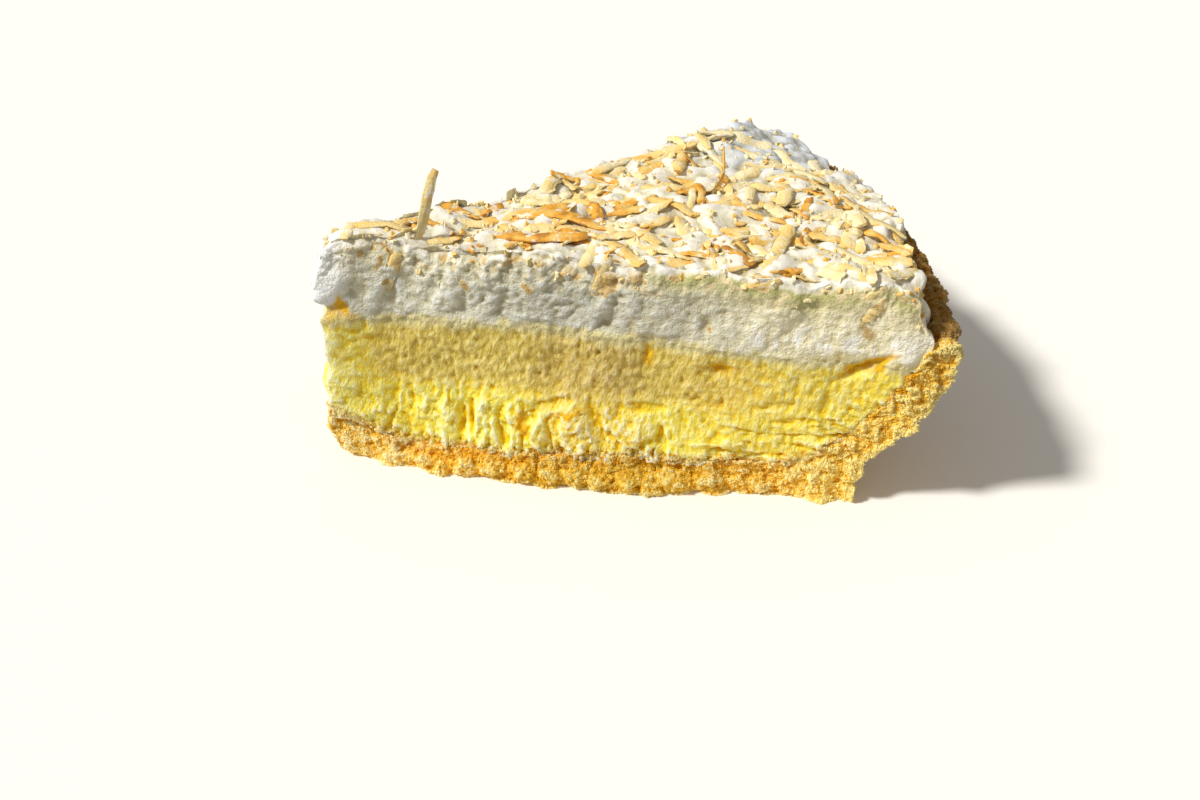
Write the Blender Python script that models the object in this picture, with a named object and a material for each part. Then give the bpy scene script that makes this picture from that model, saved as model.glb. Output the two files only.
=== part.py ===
"""A slice of coconut cream pie: a crumb crust, a custard filling, and whipped cream under toasted coconut.

The slice rests on its crust. Its tip, once the middle of the pie, points to -X and its rim to +X.
Places in the pie are given as a radius from the tip, an angle from the slice's middle line and a height.
All lengths are in metres.
"""

import math

import bmesh
import bpy
import numpy as np
from mathutils import Matrix, Vector

# The pie and the cut
SLICE_ANGLE = math.radians(45)  # an eighth of the pie
TIP_X = -0.0523  # where the pie's middle lies, so that the slice is centred on the origin
TIP_RADIUS = 0.003  # where the blunt nose begins
NOSE_REACH = 0.005  # how far back the nose's rounding is felt
NOSE_HALF_WIDTH = 0.0045
BASE_RADIUS = 0.0942
RIM_RADIUS = 0.1073
RIM_HEIGHT = 0.0355
FOOT_HEIGHT = 0.004  # the outside is upright up to here, then flares out
FLARE_HEIGHT = 0.0285  # and is upright again from here
FOOT_TOLERANCE = 0.0001
GAP = 0.00035  # between one layer and the next
TIP_GAP = 0.0004  # more room under the custard at the tip

# The crumb crust
CRUST_FLOOR = 0.0046
CRUST_FLOOR_SLOPE = 0.045  # the floor thickens towards the rim
CRUST_INSIDE_RADIUS = 0.1028  # at the rim
CRUST_WALL_RISE = 0.0252  # from the floor to the rim
CRUST_BEND_RADIUS = 0.058  # where the wall starts to rise
CRUST_BEND_POWER = 4.8
CRUST_CREST = 0.0011  # how far the rim's middle stands over its edges
CRUMB_SIZE = 0.0046
CRUMB_RELIEF = 0.0030  # on the cut
WALL_RELIEF = 0.0024  # on the outside
CRUST_NOSE = 0.0060  # how far the tip's nose stands out
NOSE_UNDERCUT = 0.0030  # and how much less it does on the ground
NOSE_UNDERCUT_HEIGHT = 0.0065
TIP_HEAP = 0.0075  # extra crust at the tip
TIP_HEAP_REACH = 0.009
LEDGE = 0.0044  # how far the floor stands proud of the cut through the custard
LEDGE_STARTS = 0.009  # the ledge grows from the tip to this radius
LEDGE_ENDS = (0.048, 0.080)  # and fades between these

# The custard and the cream
CUSTARD_TOP = 0.0312
CUSTARD_DIP = 0.0010  # how much lower its top lies at the rim
CUSTARD_THIN_END = 0.0009
CUSTARD_NOSE = 0.0060
CRAG_SIZES = (0.0052, 0.0034)
CRAG_RELIEF = 0.0034  # where the custard is torn, below
TORN_LEAST = 0.15  # the share of that relief left at the top, where the knife passed cleanly
CUSTARD_FOOT = 0.0022  # how far its foot leans out over the crust's ledge
JOIN_WAVE = 0.0010  # how far the joins between layers rise and fall at the cuts
CREAM_TOP = 0.0445
CREAM_NOSE = 0.0062
GROOVE_DEPTH = 0.0020  # a groove runs round the tip where the cream meets the custard
GROOVE_HEIGHT = 0.0328
GROOVE_HALF_WIDTH = 0.0014
PEAKS = ((0.0013, 0.011), (0.0008, 0.005))  # height and size of the top's soft peaks
DENTS = ((0.0010, 0.0065), (0.0004, 0.0030))  # depth and size of the cut's dents
CREAM_TIP_RISE = 0.0014
CREAM_TIP_REACH = 0.018
CREAM_EDGE_REACH = (0.0040, 0.0240)  # how far in its top slopes off, at the front cut and the back
CREAM_EDGE_DROP = (0.0020, 0.0056)
CREAM_EDGE_POWER = 1.6
CREAM_BULGE = (0.0, 0.0030)  # how far its outer end swells over the rim, front and back
CREAM_BULGE_FOOT = 0.0368  # the height the swelling starts from, clear of the rim's crest
CREAM_BULGE_RISE = 0.0012  # and the height it takes to reach its full size
CREAM_SET_BACK = 0.0024  # how far its outer end leans in from the rim, near the front cut
SET_BACK_STARTS = 0.092
SET_BACK_FOOT = 0.0362
SET_BACK_RISE = 0.0050

# Hollows in the front cut: radius and height of the middle, half length, half height, slant and depth
CREAM_HOLLOWS = (
    (0.0656, 0.0350, 0.0011, 0.0020, -20, 0.0016),
    (0.0830, 0.0395, 0.0022, 0.0012, 10, 0.0007),
    (0.0300, 0.0375, 0.0030, 0.0010, 0, 0.0006),
)
CUSTARD_HOLLOWS = (
    (0.0930, 0.0300, 0.0062, 0.0012, 12, 0.0024),
    (0.0682, 0.0266, 0.0022, 0.0010, 5, 0.0014),
    (0.0480, 0.0130, 0.0014, 0.0040, 12, 0.0016),
    (0.0230, 0.0120, 0.0016, 0.0036, -10, 0.0015),
)

# The toasted coconut
SHRED_COUNT = 50
SHRED_LENGTHS = (0.0055, 0.0150)
SHRED_WIDTH = 0.0022
SHRED_DEPTH = 0.0018
SHRED_RISE = 0.0007  # how far a shred's flat side lies over the cream
SHRED_SEGMENTS = 2
SHRED_CANDIDATES = 24
SHRED_RADII = (0.004, 0.099)
SHRED_INSET = 0.0030  # how far the shreds' middles stay from the cuts
BARE_CORNER = (0.088, 12)  # beyond this radius and angle, at the back, only cream shows
NOTABLE_SHREDS = (  # radius and angle of the middle, height over the cream, heading, lean, length
    (0.0174, -9.0, 0.0048, 14, 77, 0.0168),
    (0.0358, -12.3, 0.0012, -20, 2, 0.0178),
    (0.0413, -1.5, 0.0011, -27, -2, 0.0163),
    (0.0771, -14.6, 0.0013, 55, 4, 0.0158),
    (0.0734, 5.1, 0.0030, 70, 48, 0.0120),
    (0.0112, -29.5, -0.0058, 40, 72, 0.0080),
    (0.0476, -22.9, -0.0016, 60, 70, 0.0075),
    (0.0745, -22.4, -0.0012, -15, 18, 0.0060),
    (0.0930, -22.4, -0.0018, -30, 40, 0.0038),
    (0.0925, -22.4, -0.0058, -20, 60, 0.0038),
)
FLAT_SHREDS = (  # those that lie flat: radius and angle of the middle, heading, length
    (0.0042, 2.6, 69, 0.0055),
    (0.0096, 0.4, -17, 0.0085),
    (0.0147, 7.7, 23, 0.0060),
    (0.0197, 2.6, -52, 0.0068),
    (0.0202, -10.1, 12, 0.0056),
    (0.0252, 14.1, -33, 0.0072),
    (0.0308, 14.1, 42, 0.0064),
    (0.0307, 6.1, -6, 0.0050),
    (0.0456, 7.1, -41, 0.0075),
    (0.0400, 10.7, -30, 0.0060),
    (0.0452, -17.6, 58, 0.0080),
    (0.0527, -0.7, 3, 0.0068),
    (0.0496, -10.4, -5, 0.0066),
    (0.0546, 2.2, 25, 0.0078),
    (0.0611, -1.5, -47, 0.0095),
    (0.0678, 9.0, -30, 0.0060),
    (0.0760, 9.7, 80, 0.0099),
    (0.0783, 17.1, 89, 0.0066),
    (0.0712, -8.3, -9, 0.0080),
    (0.0758, -5.0, -45, 0.0105),
    (0.0857, -6.0, -59, 0.0098),
    (0.0893, -2.2, -49, 0.0058),
    (0.0857, -10.4, -34, 0.0075),
    (0.0955, -10.2, -67, 0.0052),
    (0.0975, -13.6, -66, 0.0066),
    (0.0638, -11.5, -25, 0.0088),
    (0.0580, -15.7, -42, 0.0104),
    (0.0701, -17.2, -63, 0.0072),
    (0.0795, -19.0, 37, 0.0055),
    (0.0850, -15.0, -34, 0.0070),
    (0.0915, -17.6, -54, 0.0050),
    (0.0858, 5.2, -12, 0.0056),
    (0.0960, 3.7, -84, 0.0062),
    (0.0590, 9.5, -42, 0.0060),
    (0.0622, 5.6, -22, 0.0060),
    (0.0570, -6.3, 14, 0.0062),
    (0.0425, -5.5, -12, 0.0070),
)

# How finely the layers are made, and how many triangles each then keeps
STATIONS = 78
ANGLES = 33
CRUST_LEVELS = 7
CUSTARD_LEVELS = 14
CREAM_LEVELS = 8
CRUST_TRIANGLES = 3800
CUSTARD_TRIANGLES = 2900
CREAM_TRIANGLES = 1500

HALF_ANGLE = SLICE_ANGLE / 2


def clear_scene():
    for obj in list(bpy.data.objects):
        bpy.data.objects.remove(obj, do_unlink=True)


def material(name, colour, roughness, metallic=0.0):
    """A plain finish, with its colour in linear light."""
    made = bpy.data.materials.new(name)
    made.use_nodes = True
    shader = made.node_tree.nodes["Principled BSDF"]
    shader.inputs["Base Color"].default_value = (*colour, 1.0)
    shader.inputs["Roughness"].default_value = roughness
    shader.inputs["Metallic"].default_value = metallic
    made.diffuse_color = (*colour, 1.0)
    return made


def smooth(t):
    """An S-shaped rise from 0 to 1 as t goes from 0 to 1."""
    t = np.clip(t, 0.0, 1.0)
    return t * t * (3.0 - 2.0 * t)


def bell(t):
    """1 at 0, and falling off smoothly on both sides."""
    return np.exp(-(t**2))


def front_to_back(ends, angle):
    """A value that goes from its first end towards the front cut to its second towards the back."""
    first, second = ends
    return first + (second - first) * smooth(angle / HALF_ANGLE + 0.5)


def lumps(points, size, seed):
    """Soft noise from -1 to 1 whose lumps are about size across."""
    table = np.random.default_rng(seed).uniform(-1.0, 1.0, (32, 32, 32))
    scaled = np.asarray(points) / size
    cell = np.floor(scaled).astype(int)
    share = smooth(scaled - cell)
    total = np.zeros(scaled.shape[:-1])
    for corner in np.ndindex(2, 2, 2):
        index = (cell + corner) % 32
        weight = np.where(np.array(corner) == 1, share, 1.0 - share).prod(axis=-1)
        total += weight * table[index[..., 0], index[..., 1], index[..., 2]]
    return total


def layered_lumps(points, layers, seed):
    """The sum of soft noises, each given by its height and size."""
    return sum(
        height * lumps(points, size, seed + number)
        for number, (height, size) in enumerate(layers)
    )


def crumbs(points, size, seed):
    """Rounded bumps packed side by side: 1 at the middle of each, and 0 between them."""
    table = np.random.default_rng(seed).uniform(0.15, 0.85, (16, 16, 16, 3))
    scaled = np.asarray(points) / size
    cell = np.floor(scaled).astype(int)
    nearest = np.full(scaled.shape[:-1], 4.0)
    for step in np.ndindex(3, 3, 3):
        neighbour = cell + np.array(step) - 1
        index = neighbour % 16
        middle = neighbour + table[index[..., 0], index[..., 1], index[..., 2]]
        nearest = np.minimum(nearest, np.linalg.norm(scaled - middle, axis=-1))
    return np.clip(1.0 - nearest, 0.0, 1.0)


def in_pie(radius, angle, height):
    """The points at these radii, angles and heights, as one array with x, y and z last."""
    radius, angle, height = np.broadcast_arrays(radius, angle, height)
    return np.stack(
        [TIP_X + radius * np.cos(angle), radius * np.sin(angle), height], axis=-1
    )


def outer_wall_radius(height):
    """The crust's outside: upright at the foot, flaring out, and upright again at the rim."""
    share = smooth((height - FOOT_HEIGHT) / (FLARE_HEIGHT - FOOT_HEIGHT))
    return BASE_RADIUS + (RIM_RADIUS - BASE_RADIUS) * share


def inside_profile(radius):
    """The height of the crust's inner surface before it is made uneven."""
    bend = (radius - CRUST_BEND_RADIUS) / (CRUST_INSIDE_RADIUS - CRUST_BEND_RADIUS)
    wall = CRUST_WALL_RISE * np.clip(bend, 0.0, 1.0) ** CRUST_BEND_POWER
    return CRUST_FLOOR + CRUST_FLOOR_SLOPE * radius + wall


def polar(places):
    """The radius and the angle in the pie of places given by x and y."""
    x = places[..., 0] - TIP_X
    y = places[..., 1]
    return np.hypot(x, y), np.arctan2(y, np.maximum(x, 1e-4))


def flat(places):
    """The places with their heights set to 0."""
    return places * np.array([1.0, 1.0, 0.0])


def join_wave(places, radius, angle, size, seed):
    """How far a join between layers rises or falls: most at the cuts, and by nothing at the tip."""
    share = np.clip(angle / HALF_ANGLE, -1.0, 1.0) ** 4 * smooth(radius / TIP_HEAP_REACH)
    return JOIN_WAVE * lumps(flat(places), size, seed) * share


def crust_inside(places):
    """The height of the crust's inner surface, which the filling lies on."""
    radius, angle = polar(places)
    heap = TIP_HEAP * bell(radius / TIP_HEAP_REACH)
    return inside_profile(radius) + heap + join_wave(places, radius, angle, 0.011, seed=3)


def custard_top(places):
    """The height where the custard ends and the cream begins."""
    radius, angle = polar(places)
    dip = CUSTARD_DIP * smooth(radius / RIM_RADIUS)
    return CUSTARD_TOP - dip + join_wave(places, radius, angle, 0.014, seed=5)


def cream_top(places):
    """The cream's top: spread in soft peaks, and sloping off towards the rim, most of all at the back."""
    radius, angle = polar(places)
    peaks = layered_lumps(flat(places), PEAKS, seed=7)
    tip = CREAM_TIP_RISE * bell(radius / CREAM_TIP_REACH)
    reach = front_to_back(CREAM_EDGE_REACH, angle)
    outward = np.clip(1.0 - (CRUST_INSIDE_RADIUS - radius) / reach, 0.0, 1.0)
    drop = front_to_back(CREAM_EDGE_DROP, angle) * outward**CREAM_EDGE_POWER
    return CREAM_TOP + peaks + tip - drop


def above_crust(places):
    """The lowest a filling may lie: clear of the crust's floor and, further out, of its steep wall."""
    x = places[..., 0] - TIP_X
    radius = np.maximum(np.hypot(x, places[..., 1]), 1e-6)
    moved = places.copy()
    moved[..., 0] += GAP * x / radius
    moved[..., 1] += GAP * places[..., 1] / radius
    return crust_inside(moved) + GAP + TIP_GAP * bell(radius / TIP_HEAP_REACH)


def cream_underside(places):
    """The cream lies on the custard and, nearer the rim, on the crust's wall."""
    return np.maximum(custard_top(places) + GAP, above_crust(places))


def equal_steps(line, count):
    """count + 1 points spaced evenly along a line of points."""
    lengths = np.linalg.norm(np.diff(line, axis=0), axis=1)
    travelled = np.concatenate([[0.0], np.cumsum(lengths)])
    wanted = np.linspace(0.0, travelled[-1], count + 1)
    return np.stack([np.interp(wanted, travelled, line[:, i]) for i in (0, 1)], axis=1)


def crust_lines():
    """The crust's section as two lines of (radius, height) from tip to rim: its outside, then its inside."""
    floor = np.linspace(TIP_RADIUS, BASE_RADIUS, 200)
    wall = np.linspace(0.0, RIM_HEIGHT, 100)[1:]
    outside = np.concatenate(
        [
            np.stack([floor, np.zeros_like(floor)], axis=1),
            np.stack([outer_wall_radius(wall), wall], axis=1),
        ]
    )
    across = np.linspace(TIP_RADIUS, CRUST_INSIDE_RADIUS, 400)
    inside = np.stack([across, inside_profile(across)], axis=1)
    return equal_steps(outside, STATIONS), equal_steps(inside, STATIONS)


def push_cuts(points, angle, outwards):
    """Moves the points near each cut straight out of it, by outwards at the cut itself."""
    share = np.abs(angle / HALF_ANGLE) ** 8
    side = np.sign(angle)
    normal = np.stack(
        [
            np.full_like(angle, -math.sin(HALF_ANGLE)),
            side * math.cos(HALF_ANGLE),
            np.zeros_like(angle),
        ],
        axis=-1,
    )
    return points + normal * (share * outwards)[..., None]


def nearness_to_tip(radius):
    """1 where the nose begins, and falling off behind it."""
    return bell((radius - TIP_RADIUS) / NOSE_REACH)


def push_tip(points, radius, outwards):
    """Moves the nose of the tip out towards -X, and rounds it."""
    beside = np.clip(np.abs(points[..., 1]) / NOSE_HALF_WIDTH, 0.0, 1.0)
    moved = points.copy()
    moved[..., 0] -= nearness_to_tip(radius) * outwards * np.sqrt(1.0 - 0.9 * beside**2)
    return moved


def tip_groove(height):
    """How much less the tip stands out where the cream meets the custard."""
    return GROOVE_DEPTH * bell((height - GROOVE_HEIGHT) / GROOVE_HALF_WIDTH)


def ledge_share(radius):
    """How far along its full width the ledge is: it grows from the tip and fades before the rim."""
    grows = smooth((radius - TIP_RADIUS) / (LEDGE_STARTS - TIP_RADIUS))
    fades = 1.0 - smooth((radius - LEDGE_ENDS[0]) / (LEDGE_ENDS[1] - LEDGE_ENDS[0]))
    return (0.2 + 0.8 * grows) * fades


def ledge(radius, height):
    """How far the crust's cut stands proud of the custard's: most along the floor, and nothing at the rim."""
    low = 1.0 - 0.45 * smooth(height / CRUST_FLOOR - 0.5)
    return LEDGE * ledge_share(radius) * low


def outward(angle):
    """The level direction from the tip towards the rim at these angles."""
    return np.stack([np.cos(angle), np.sin(angle), np.zeros_like(angle)], axis=-1)


def set_back(points, radius, angle):
    """How far the cream's outer end leans in from the rim: most at the front cut, nothing at the middle."""
    near_front = 1.0 - smooth((angle / HALF_ANGLE + 0.75) / 0.8)
    outer = smooth((radius - SET_BACK_STARTS) / (CRUST_INSIDE_RADIUS - SET_BACK_STARTS))
    high = smooth((points[..., 2] - SET_BACK_FOOT) / SET_BACK_RISE)
    return CREAM_SET_BACK * near_front * outer * high


def settle(points, level, floor, ceiling):
    """Sets each point's height again, between the layer's floor and ceiling at the place it was moved to."""
    settled = points.copy()
    settled[..., 2] = floor(points) * (1.0 - level) + ceiling(points) * level
    return settled


def lattice_surface(points):
    """The outside of a block of points indexed [station, level, angle], as vertices and four-sided faces."""
    shape = points.shape[:3]
    index = np.full(shape, -1)
    outside = np.ones(shape, bool)
    outside[1:-1, 1:-1, 1:-1] = False
    index[outside] = np.arange(outside.sum())
    sides = [
        (index[:, 0, :], False),
        (index[:, -1, :], True),
        (index[:, :, 0], True),
        (index[:, :, -1], False),
        (index[0], True),
        (index[-1], False),
    ]
    faces = []
    for grid, turned in sides:
        corners = [grid[:-1, :-1], grid[1:, :-1], grid[1:, 1:], grid[:-1, 1:]]
        quads = np.stack([c.ravel() for c in corners], axis=1)
        faces.extend((quads[:, ::-1] if turned else quads).tolist())
    return points[outside].tolist(), faces


def layer_object(name, points, finish):
    """A closed solid from a block of points, with its faces pointing out."""
    vertices, faces = lattice_surface(points)
    mesh = bpy.data.meshes.new(name)
    mesh.from_pydata(vertices, [], faces)
    shell = bmesh.new()
    shell.from_mesh(mesh)
    bmesh.ops.recalc_face_normals(shell, faces=shell.faces)
    shell.to_mesh(mesh)
    shell.free()
    mesh.materials.append(finish)
    made = bpy.data.objects.new(name, mesh)
    bpy.context.scene.collection.objects.link(made)
    return made


def lattice_axes(levels):
    """The level shares and the angles of a layer's block of points."""
    return np.linspace(0.0, 1.0, levels + 1), np.linspace(-HALF_ANGLE, HALF_ANGLE, ANGLES)


def crust_points():
    """The crust: from its outside at level 0 to its inside at the last level, with crumbs for relief."""
    outside, inside = crust_lines()
    level, angle = lattice_axes(CRUST_LEVELS)
    level, angle = level[None, :, None], angle[None, None, :]
    radius = outside[:, 0][:, None, None] * (1 - level) + inside[:, 0][:, None, None] * level
    under = outside[:, 1][:, None, None]
    over = crust_inside(in_pie(inside[:, 0][:, None, None], angle, 0.0))
    height = under * (1 - level) + over * level
    crest = np.zeros_like(height)
    crest[-1] = CRUST_CREST * np.sin(math.pi * level[0])
    radius, angle = np.broadcast_arrays(radius, angle, height)[:2]
    points = in_pie(radius, angle, height + crest)
    bumps = crumbs(points, CRUMB_SIZE, seed=63) - 0.45
    wall = smooth(height / 0.006) * smooth((radius - 0.088) / 0.008) * (1.0 - level**3)
    points = points + outward(angle) * (wall * WALL_RELIEF * bumps)[..., None]
    uneven = CRUMB_RELIEF * bumps + 0.0011 * lumps(points, 0.014, seed=12)
    points = push_cuts(points, angle, ledge(radius, height) + uneven)
    undercut = NOSE_UNDERCUT * (1.0 - smooth(height / NOSE_UNDERCUT_HEIGHT))
    points = push_tip(points, radius, CRUST_NOSE - undercut + 0.7 * CRUMB_RELIEF * bumps)
    settled = settle(points, level, lambda _: under, crust_inside)
    settled[..., 2] += crest
    return settled


def filling_stations():
    """The radii of the custard's stations: those of the crust, up to where the custard thins out."""
    radii = crust_lines()[1][:, 0]
    places = in_pie(radii[:, None], lattice_axes(1)[1], 0.0)
    room = custard_top(places) - crust_inside(places)
    return radii[room.min(axis=1) > GAP + CUSTARD_THIN_END]


def layer_points(stations, levels, floor, ceiling):
    """A filling's block of points from floor to ceiling, with each point's radius, level and angle."""
    level, angle = lattice_axes(levels)
    radius = stations[:, None, None]
    level, angle = level[None, :, None], angle[None, None, :]
    radius, level, angle = np.broadcast_arrays(radius, level, angle)
    points = settle(in_pie(radius, angle, 0.0), level, floor, ceiling)
    return points, radius, level, angle


def hollowed(points, angle, hollows):
    """How deep the hollows are at each point, at the front cut only."""
    along = (points[..., 0] - TIP_X) / math.cos(HALF_ANGLE)
    depth = np.zeros(points.shape[:-1])
    for radius, height, half_length, half_height, slant, deepest in hollows:
        turn = math.radians(slant)
        u = along - radius
        v = points[..., 2] - height
        across = (u * math.cos(turn) + v * math.sin(turn)) / half_length
        up = (v * math.cos(turn) - u * math.sin(turn)) / half_height
        depth = np.maximum(depth, deepest * np.exp(-(across**2) - up**2))
    return np.where(angle < 0, depth, 0.0)


def custard_points():
    """The custard: smooth where the knife passed near its top, and torn into crags lower down."""
    points, radius, level, angle = layer_points(
        filling_stations(), CUSTARD_LEVELS, above_crust, custard_top
    )
    large, small = CRAG_SIZES
    crags = 0.6 * crumbs(points, large, seed=21) + 0.4 * np.abs(lumps(points, small, seed=24))
    torn = TORN_LEAST + (1.0 - TORN_LEAST) * smooth(1.3 - level * 1.9)
    relief = CRAG_RELIEF * torn * (crags - 0.30) + 0.0008 * lumps(points, 0.008, seed=22)
    relief += 0.0009 * nearness_to_tip(radius)
    relief += CUSTARD_FOOT * ledge_share(radius) * (1.0 - smooth(level * 1.7))
    relief -= hollowed(points, angle, CUSTARD_HOLLOWS)
    points = push_cuts(points, angle, relief)
    forward = CUSTARD_NOSE * (1.0 - 0.15 * level) + 0.0016 * lumps(points, 0.006, seed=23)
    forward -= tip_groove(points[..., 2])
    points = push_tip(points, radius, forward)
    return settle(points, level, above_crust, custard_top)


def cream_points():
    """The whipped cream: its cut sides are soft and dented, and its top stands in low peaks."""
    points, radius, level, angle = layer_points(
        crust_lines()[1][:, 0], CREAM_LEVELS, cream_underside, cream_top
    )
    relief = layered_lumps(points, DENTS, seed=31) - 0.0012 * level**6
    relief += 0.0012 * nearness_to_tip(radius)
    relief -= hollowed(points, angle, CREAM_HOLLOWS)
    points = push_cuts(points, angle, relief)
    forward = CREAM_NOSE * (1.0 - 0.42 * level**3) + 0.0015 * lumps(points, 0.006, seed=34)
    forward -= tip_groove(points[..., 2])
    points = push_tip(points, radius, forward)
    points = settle(points, level, cream_underside, cream_top)
    points = points - outward(angle) * set_back(points, radius, angle)[..., None]
    full = smooth((points[-1, ..., 2] - CREAM_BULGE_FOOT) / CREAM_BULGE_RISE)
    swell = front_to_back(CREAM_BULGE, angle[-1]) * full * (1.0 - 0.6 * level[-1] ** 6)
    points[-1, ..., 0] += swell * np.cos(angle[-1])
    points[-1, ..., 1] += swell * np.sin(angle[-1])
    return points


def shred_mesh(length, bend, twist):
    """One toasted shred along X: a bent, twisted strip with three sides, its flat one up."""
    shell = bmesh.new()
    rings = []
    for step in range(SHRED_SEGMENTS + 1):
        share = step / SHRED_SEGMENTS
        swell = 0.70 + 0.30 * math.sin(math.pi * share)
        aside = bend * length * (math.sin(math.pi * share) - 0.64)
        turn = Matrix.Rotation(twist * (share - 0.5), 4, "X")
        middle = Vector(((share - 0.5) * length, aside, 0))
        ring = []
        for across, up in ((-0.5, 0.0), (0.0, -1.0), (0.5, 0.0)):
            corner = Vector((0, across * SHRED_WIDTH * swell, up * SHRED_DEPTH))
            ring.append(shell.verts.new(turn @ corner + middle))
        rings.append(ring)
    for first, second in zip(rings, rings[1:]):
        for i in range(3):
            j = (i + 1) % 3
            shell.faces.new((first[i], first[j], second[j], second[i]))
    shell.faces.new(rings[0][::-1])
    shell.faces.new(rings[-1])
    bmesh.ops.recalc_face_normals(shell, faces=shell.faces)
    mesh = bpy.data.meshes.new("shred")
    shell.to_mesh(mesh)
    shell.free()
    return mesh


def shred_places(draw, taken):
    """Where the shreds lie: each takes the roomiest of several random places, so they spread evenly."""
    places = []
    spots = [(radius * math.cos(angle), radius * math.sin(angle)) for radius, angle in taken]
    for _ in range(SHRED_COUNT):
        shares = draw.uniform(0.0, 1.0, (SHRED_CANDIDATES, 2))
        radii = SHRED_RADII[0] + (SHRED_RADII[1] - SHRED_RADII[0]) * np.sqrt(shares[:, 0])
        inset = np.clip(SHRED_INSET / radii, 0.0, HALF_ANGLE * 0.8)
        angles = (shares[:, 1] * 2 - 1) * (HALF_ANGLE - inset)
        options = np.stack([radii * np.cos(angles), radii * np.sin(angles)], axis=1)
        room = np.linalg.norm(options[:, None] - np.array(spots)[None], axis=2).min(axis=1)
        room[(radii > BARE_CORNER[0]) & (angles > math.radians(BARE_CORNER[1]))] = 0.0
        best = int(room.argmax())
        spots.append(tuple(options[best]))
        places.append((float(radii[best]), float(angles[best])))
    return places


def lay_shred(heap, place, rise, turn, length, draw):
    """Lays a shred with its middle at a place on the cream, turned by heading, lean and roll."""
    x, y, _ = spot = in_pie(*place, 0.0)
    surface = float(cream_top(spot))
    mesh = shred_mesh(length, draw.uniform(-0.10, 0.10), draw.uniform(-0.9, 0.9))
    made = bpy.data.objects.new("shred", mesh)
    heading, lean, roll = turn
    made.matrix_world = (
        Matrix.Translation((float(x), float(y), surface + rise))
        @ Matrix.Rotation(heading, 4, "Z")
        @ Matrix.Rotation(-lean, 4, "Y")
        @ Matrix.Rotation(roll, 4, "X")
    )
    heap.objects.link(made)


def coconut_heap():
    """The collection of shreds that the cream carries: those that stand out first, then the longest first."""
    draw = np.random.default_rng(41)
    heap = bpy.data.collections.new("coconut")
    bpy.context.scene.collection.children.link(heap)
    taken = []
    laid_flat = [
        (radius, degrees, SHRED_RISE, heading, 0, length)
        for radius, degrees, heading, length in FLAT_SHREDS
    ]
    for radius, degrees, rise, heading, lean, length in [*NOTABLE_SHREDS, *laid_flat]:
        place = (radius, math.radians(degrees))
        taken.append(place)
        turn = (math.radians(heading), math.radians(lean), 0.0)
        lay_shred(heap, place, rise, turn, length, draw)
    lengths = np.sort(draw.uniform(*SHRED_LENGTHS, SHRED_COUNT))[::-1]
    for place, length in zip(shred_places(draw, taken), lengths):
        turn = (draw.uniform(0.0, math.pi), draw.normal(0.0, 0.09), draw.uniform(-0.4, 0.4))
        lay_shred(heap, place, SHRED_RISE, turn, float(length), draw)
    return heap


def thin_out(body, triangles):
    """Merges the small faces where the surface is plain, until the body keeps about this many triangles."""
    body.data.calc_loop_triangles()
    merge = body.modifiers.new("plain parts merged", "DECIMATE")
    merge.ratio = triangles / len(body.data.loop_triangles)
    merge.use_collapse_triangulate = True
    graph = bpy.context.evaluated_depsgraph_get()
    thinned = bpy.data.meshes.new_from_object(body.evaluated_get(graph))
    body.modifiers.clear()
    old = body.data
    body.data = thinned
    bpy.data.meshes.remove(old)


def fuse(body, heap):
    """Joins a collection's objects to the body with one Boolean union, then removes them."""
    union = body.modifiers.new("fused toppings", "BOOLEAN")
    union.operation = "UNION"
    union.operand_type = "COLLECTION"
    union.collection = heap
    union.solver = "MANIFOLD"
    graph = bpy.context.evaluated_depsgraph_get()
    joined = bpy.data.meshes.new_from_object(body.evaluated_get(graph))
    body.modifiers.clear()
    old = body.data
    body.data = joined
    bpy.data.meshes.remove(old)
    for obj in list(heap.objects):
        bpy.data.objects.remove(obj, do_unlink=True)
    bpy.data.collections.remove(heap)


def keep_main_body(body):
    """Drops every shell but the largest: loose scraps, and the inner skins of hollows that fusing sealed."""
    shell = bmesh.new()
    shell.from_mesh(body.data)
    unseen = set(shell.faces)
    islands = []
    while unseen:
        island, edge = set(), [unseen.pop()]
        while edge:
            face = edge.pop()
            island.add(face)
            for loop in face.edges:
                fresh = [other for other in loop.link_faces if other in unseen]
                unseen.difference_update(fresh)
                edge.extend(fresh)
        islands.append(island)
    islands.sort(key=len, reverse=True)
    scraps = [face for island in islands[1:] for face in island]
    bmesh.ops.delete(shell, geom=scraps, context="FACES")
    bmesh.ops.dissolve_limit(
        shell, angle_limit=math.radians(1.5), verts=shell.verts, edges=shell.edges
    )
    bmesh.ops.triangulate(shell, faces=shell.faces)
    shell.to_mesh(body.data)
    shell.free()


def flatten_foot(body):
    """Sets every point that nearly touches the ground onto it."""
    for vertex in body.data.vertices:
        if vertex.co.z < FOOT_TOLERANCE:
            vertex.co.z = 0.0


def shade(body, angle):
    """Smooth shading, with edges sharper than the angle left crisp."""
    body.data.shade_smooth()
    body.data.set_sharp_from_angle(angle=math.radians(angle))


def build():
    clear_scene()
    crust_finish = material("golden crumb", (0.62, 0.34, 0.10), 0.85)
    custard_finish = material("pale custard", (0.86, 0.70, 0.24), 0.55)
    cream_finish = material("whipped cream", (0.88, 0.84, 0.72), 0.60)
    crust = layer_object("crumb_crust", crust_points(), crust_finish)
    custard = layer_object("custard_filling", custard_points(), custard_finish)
    cream = layer_object("coconut_cream", cream_points(), cream_finish)
    for body, triangles in (
        (crust, CRUST_TRIANGLES),
        (custard, CUSTARD_TRIANGLES),
        (cream, CREAM_TRIANGLES),
    ):
        thin_out(body, triangles)
    flatten_foot(crust)
    fuse(cream, coconut_heap())
    keep_main_body(cream)
    for body, angle in ((crust, 35), (custard, 45), (cream, 40)):
        shade(body, angle)


build()
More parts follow.
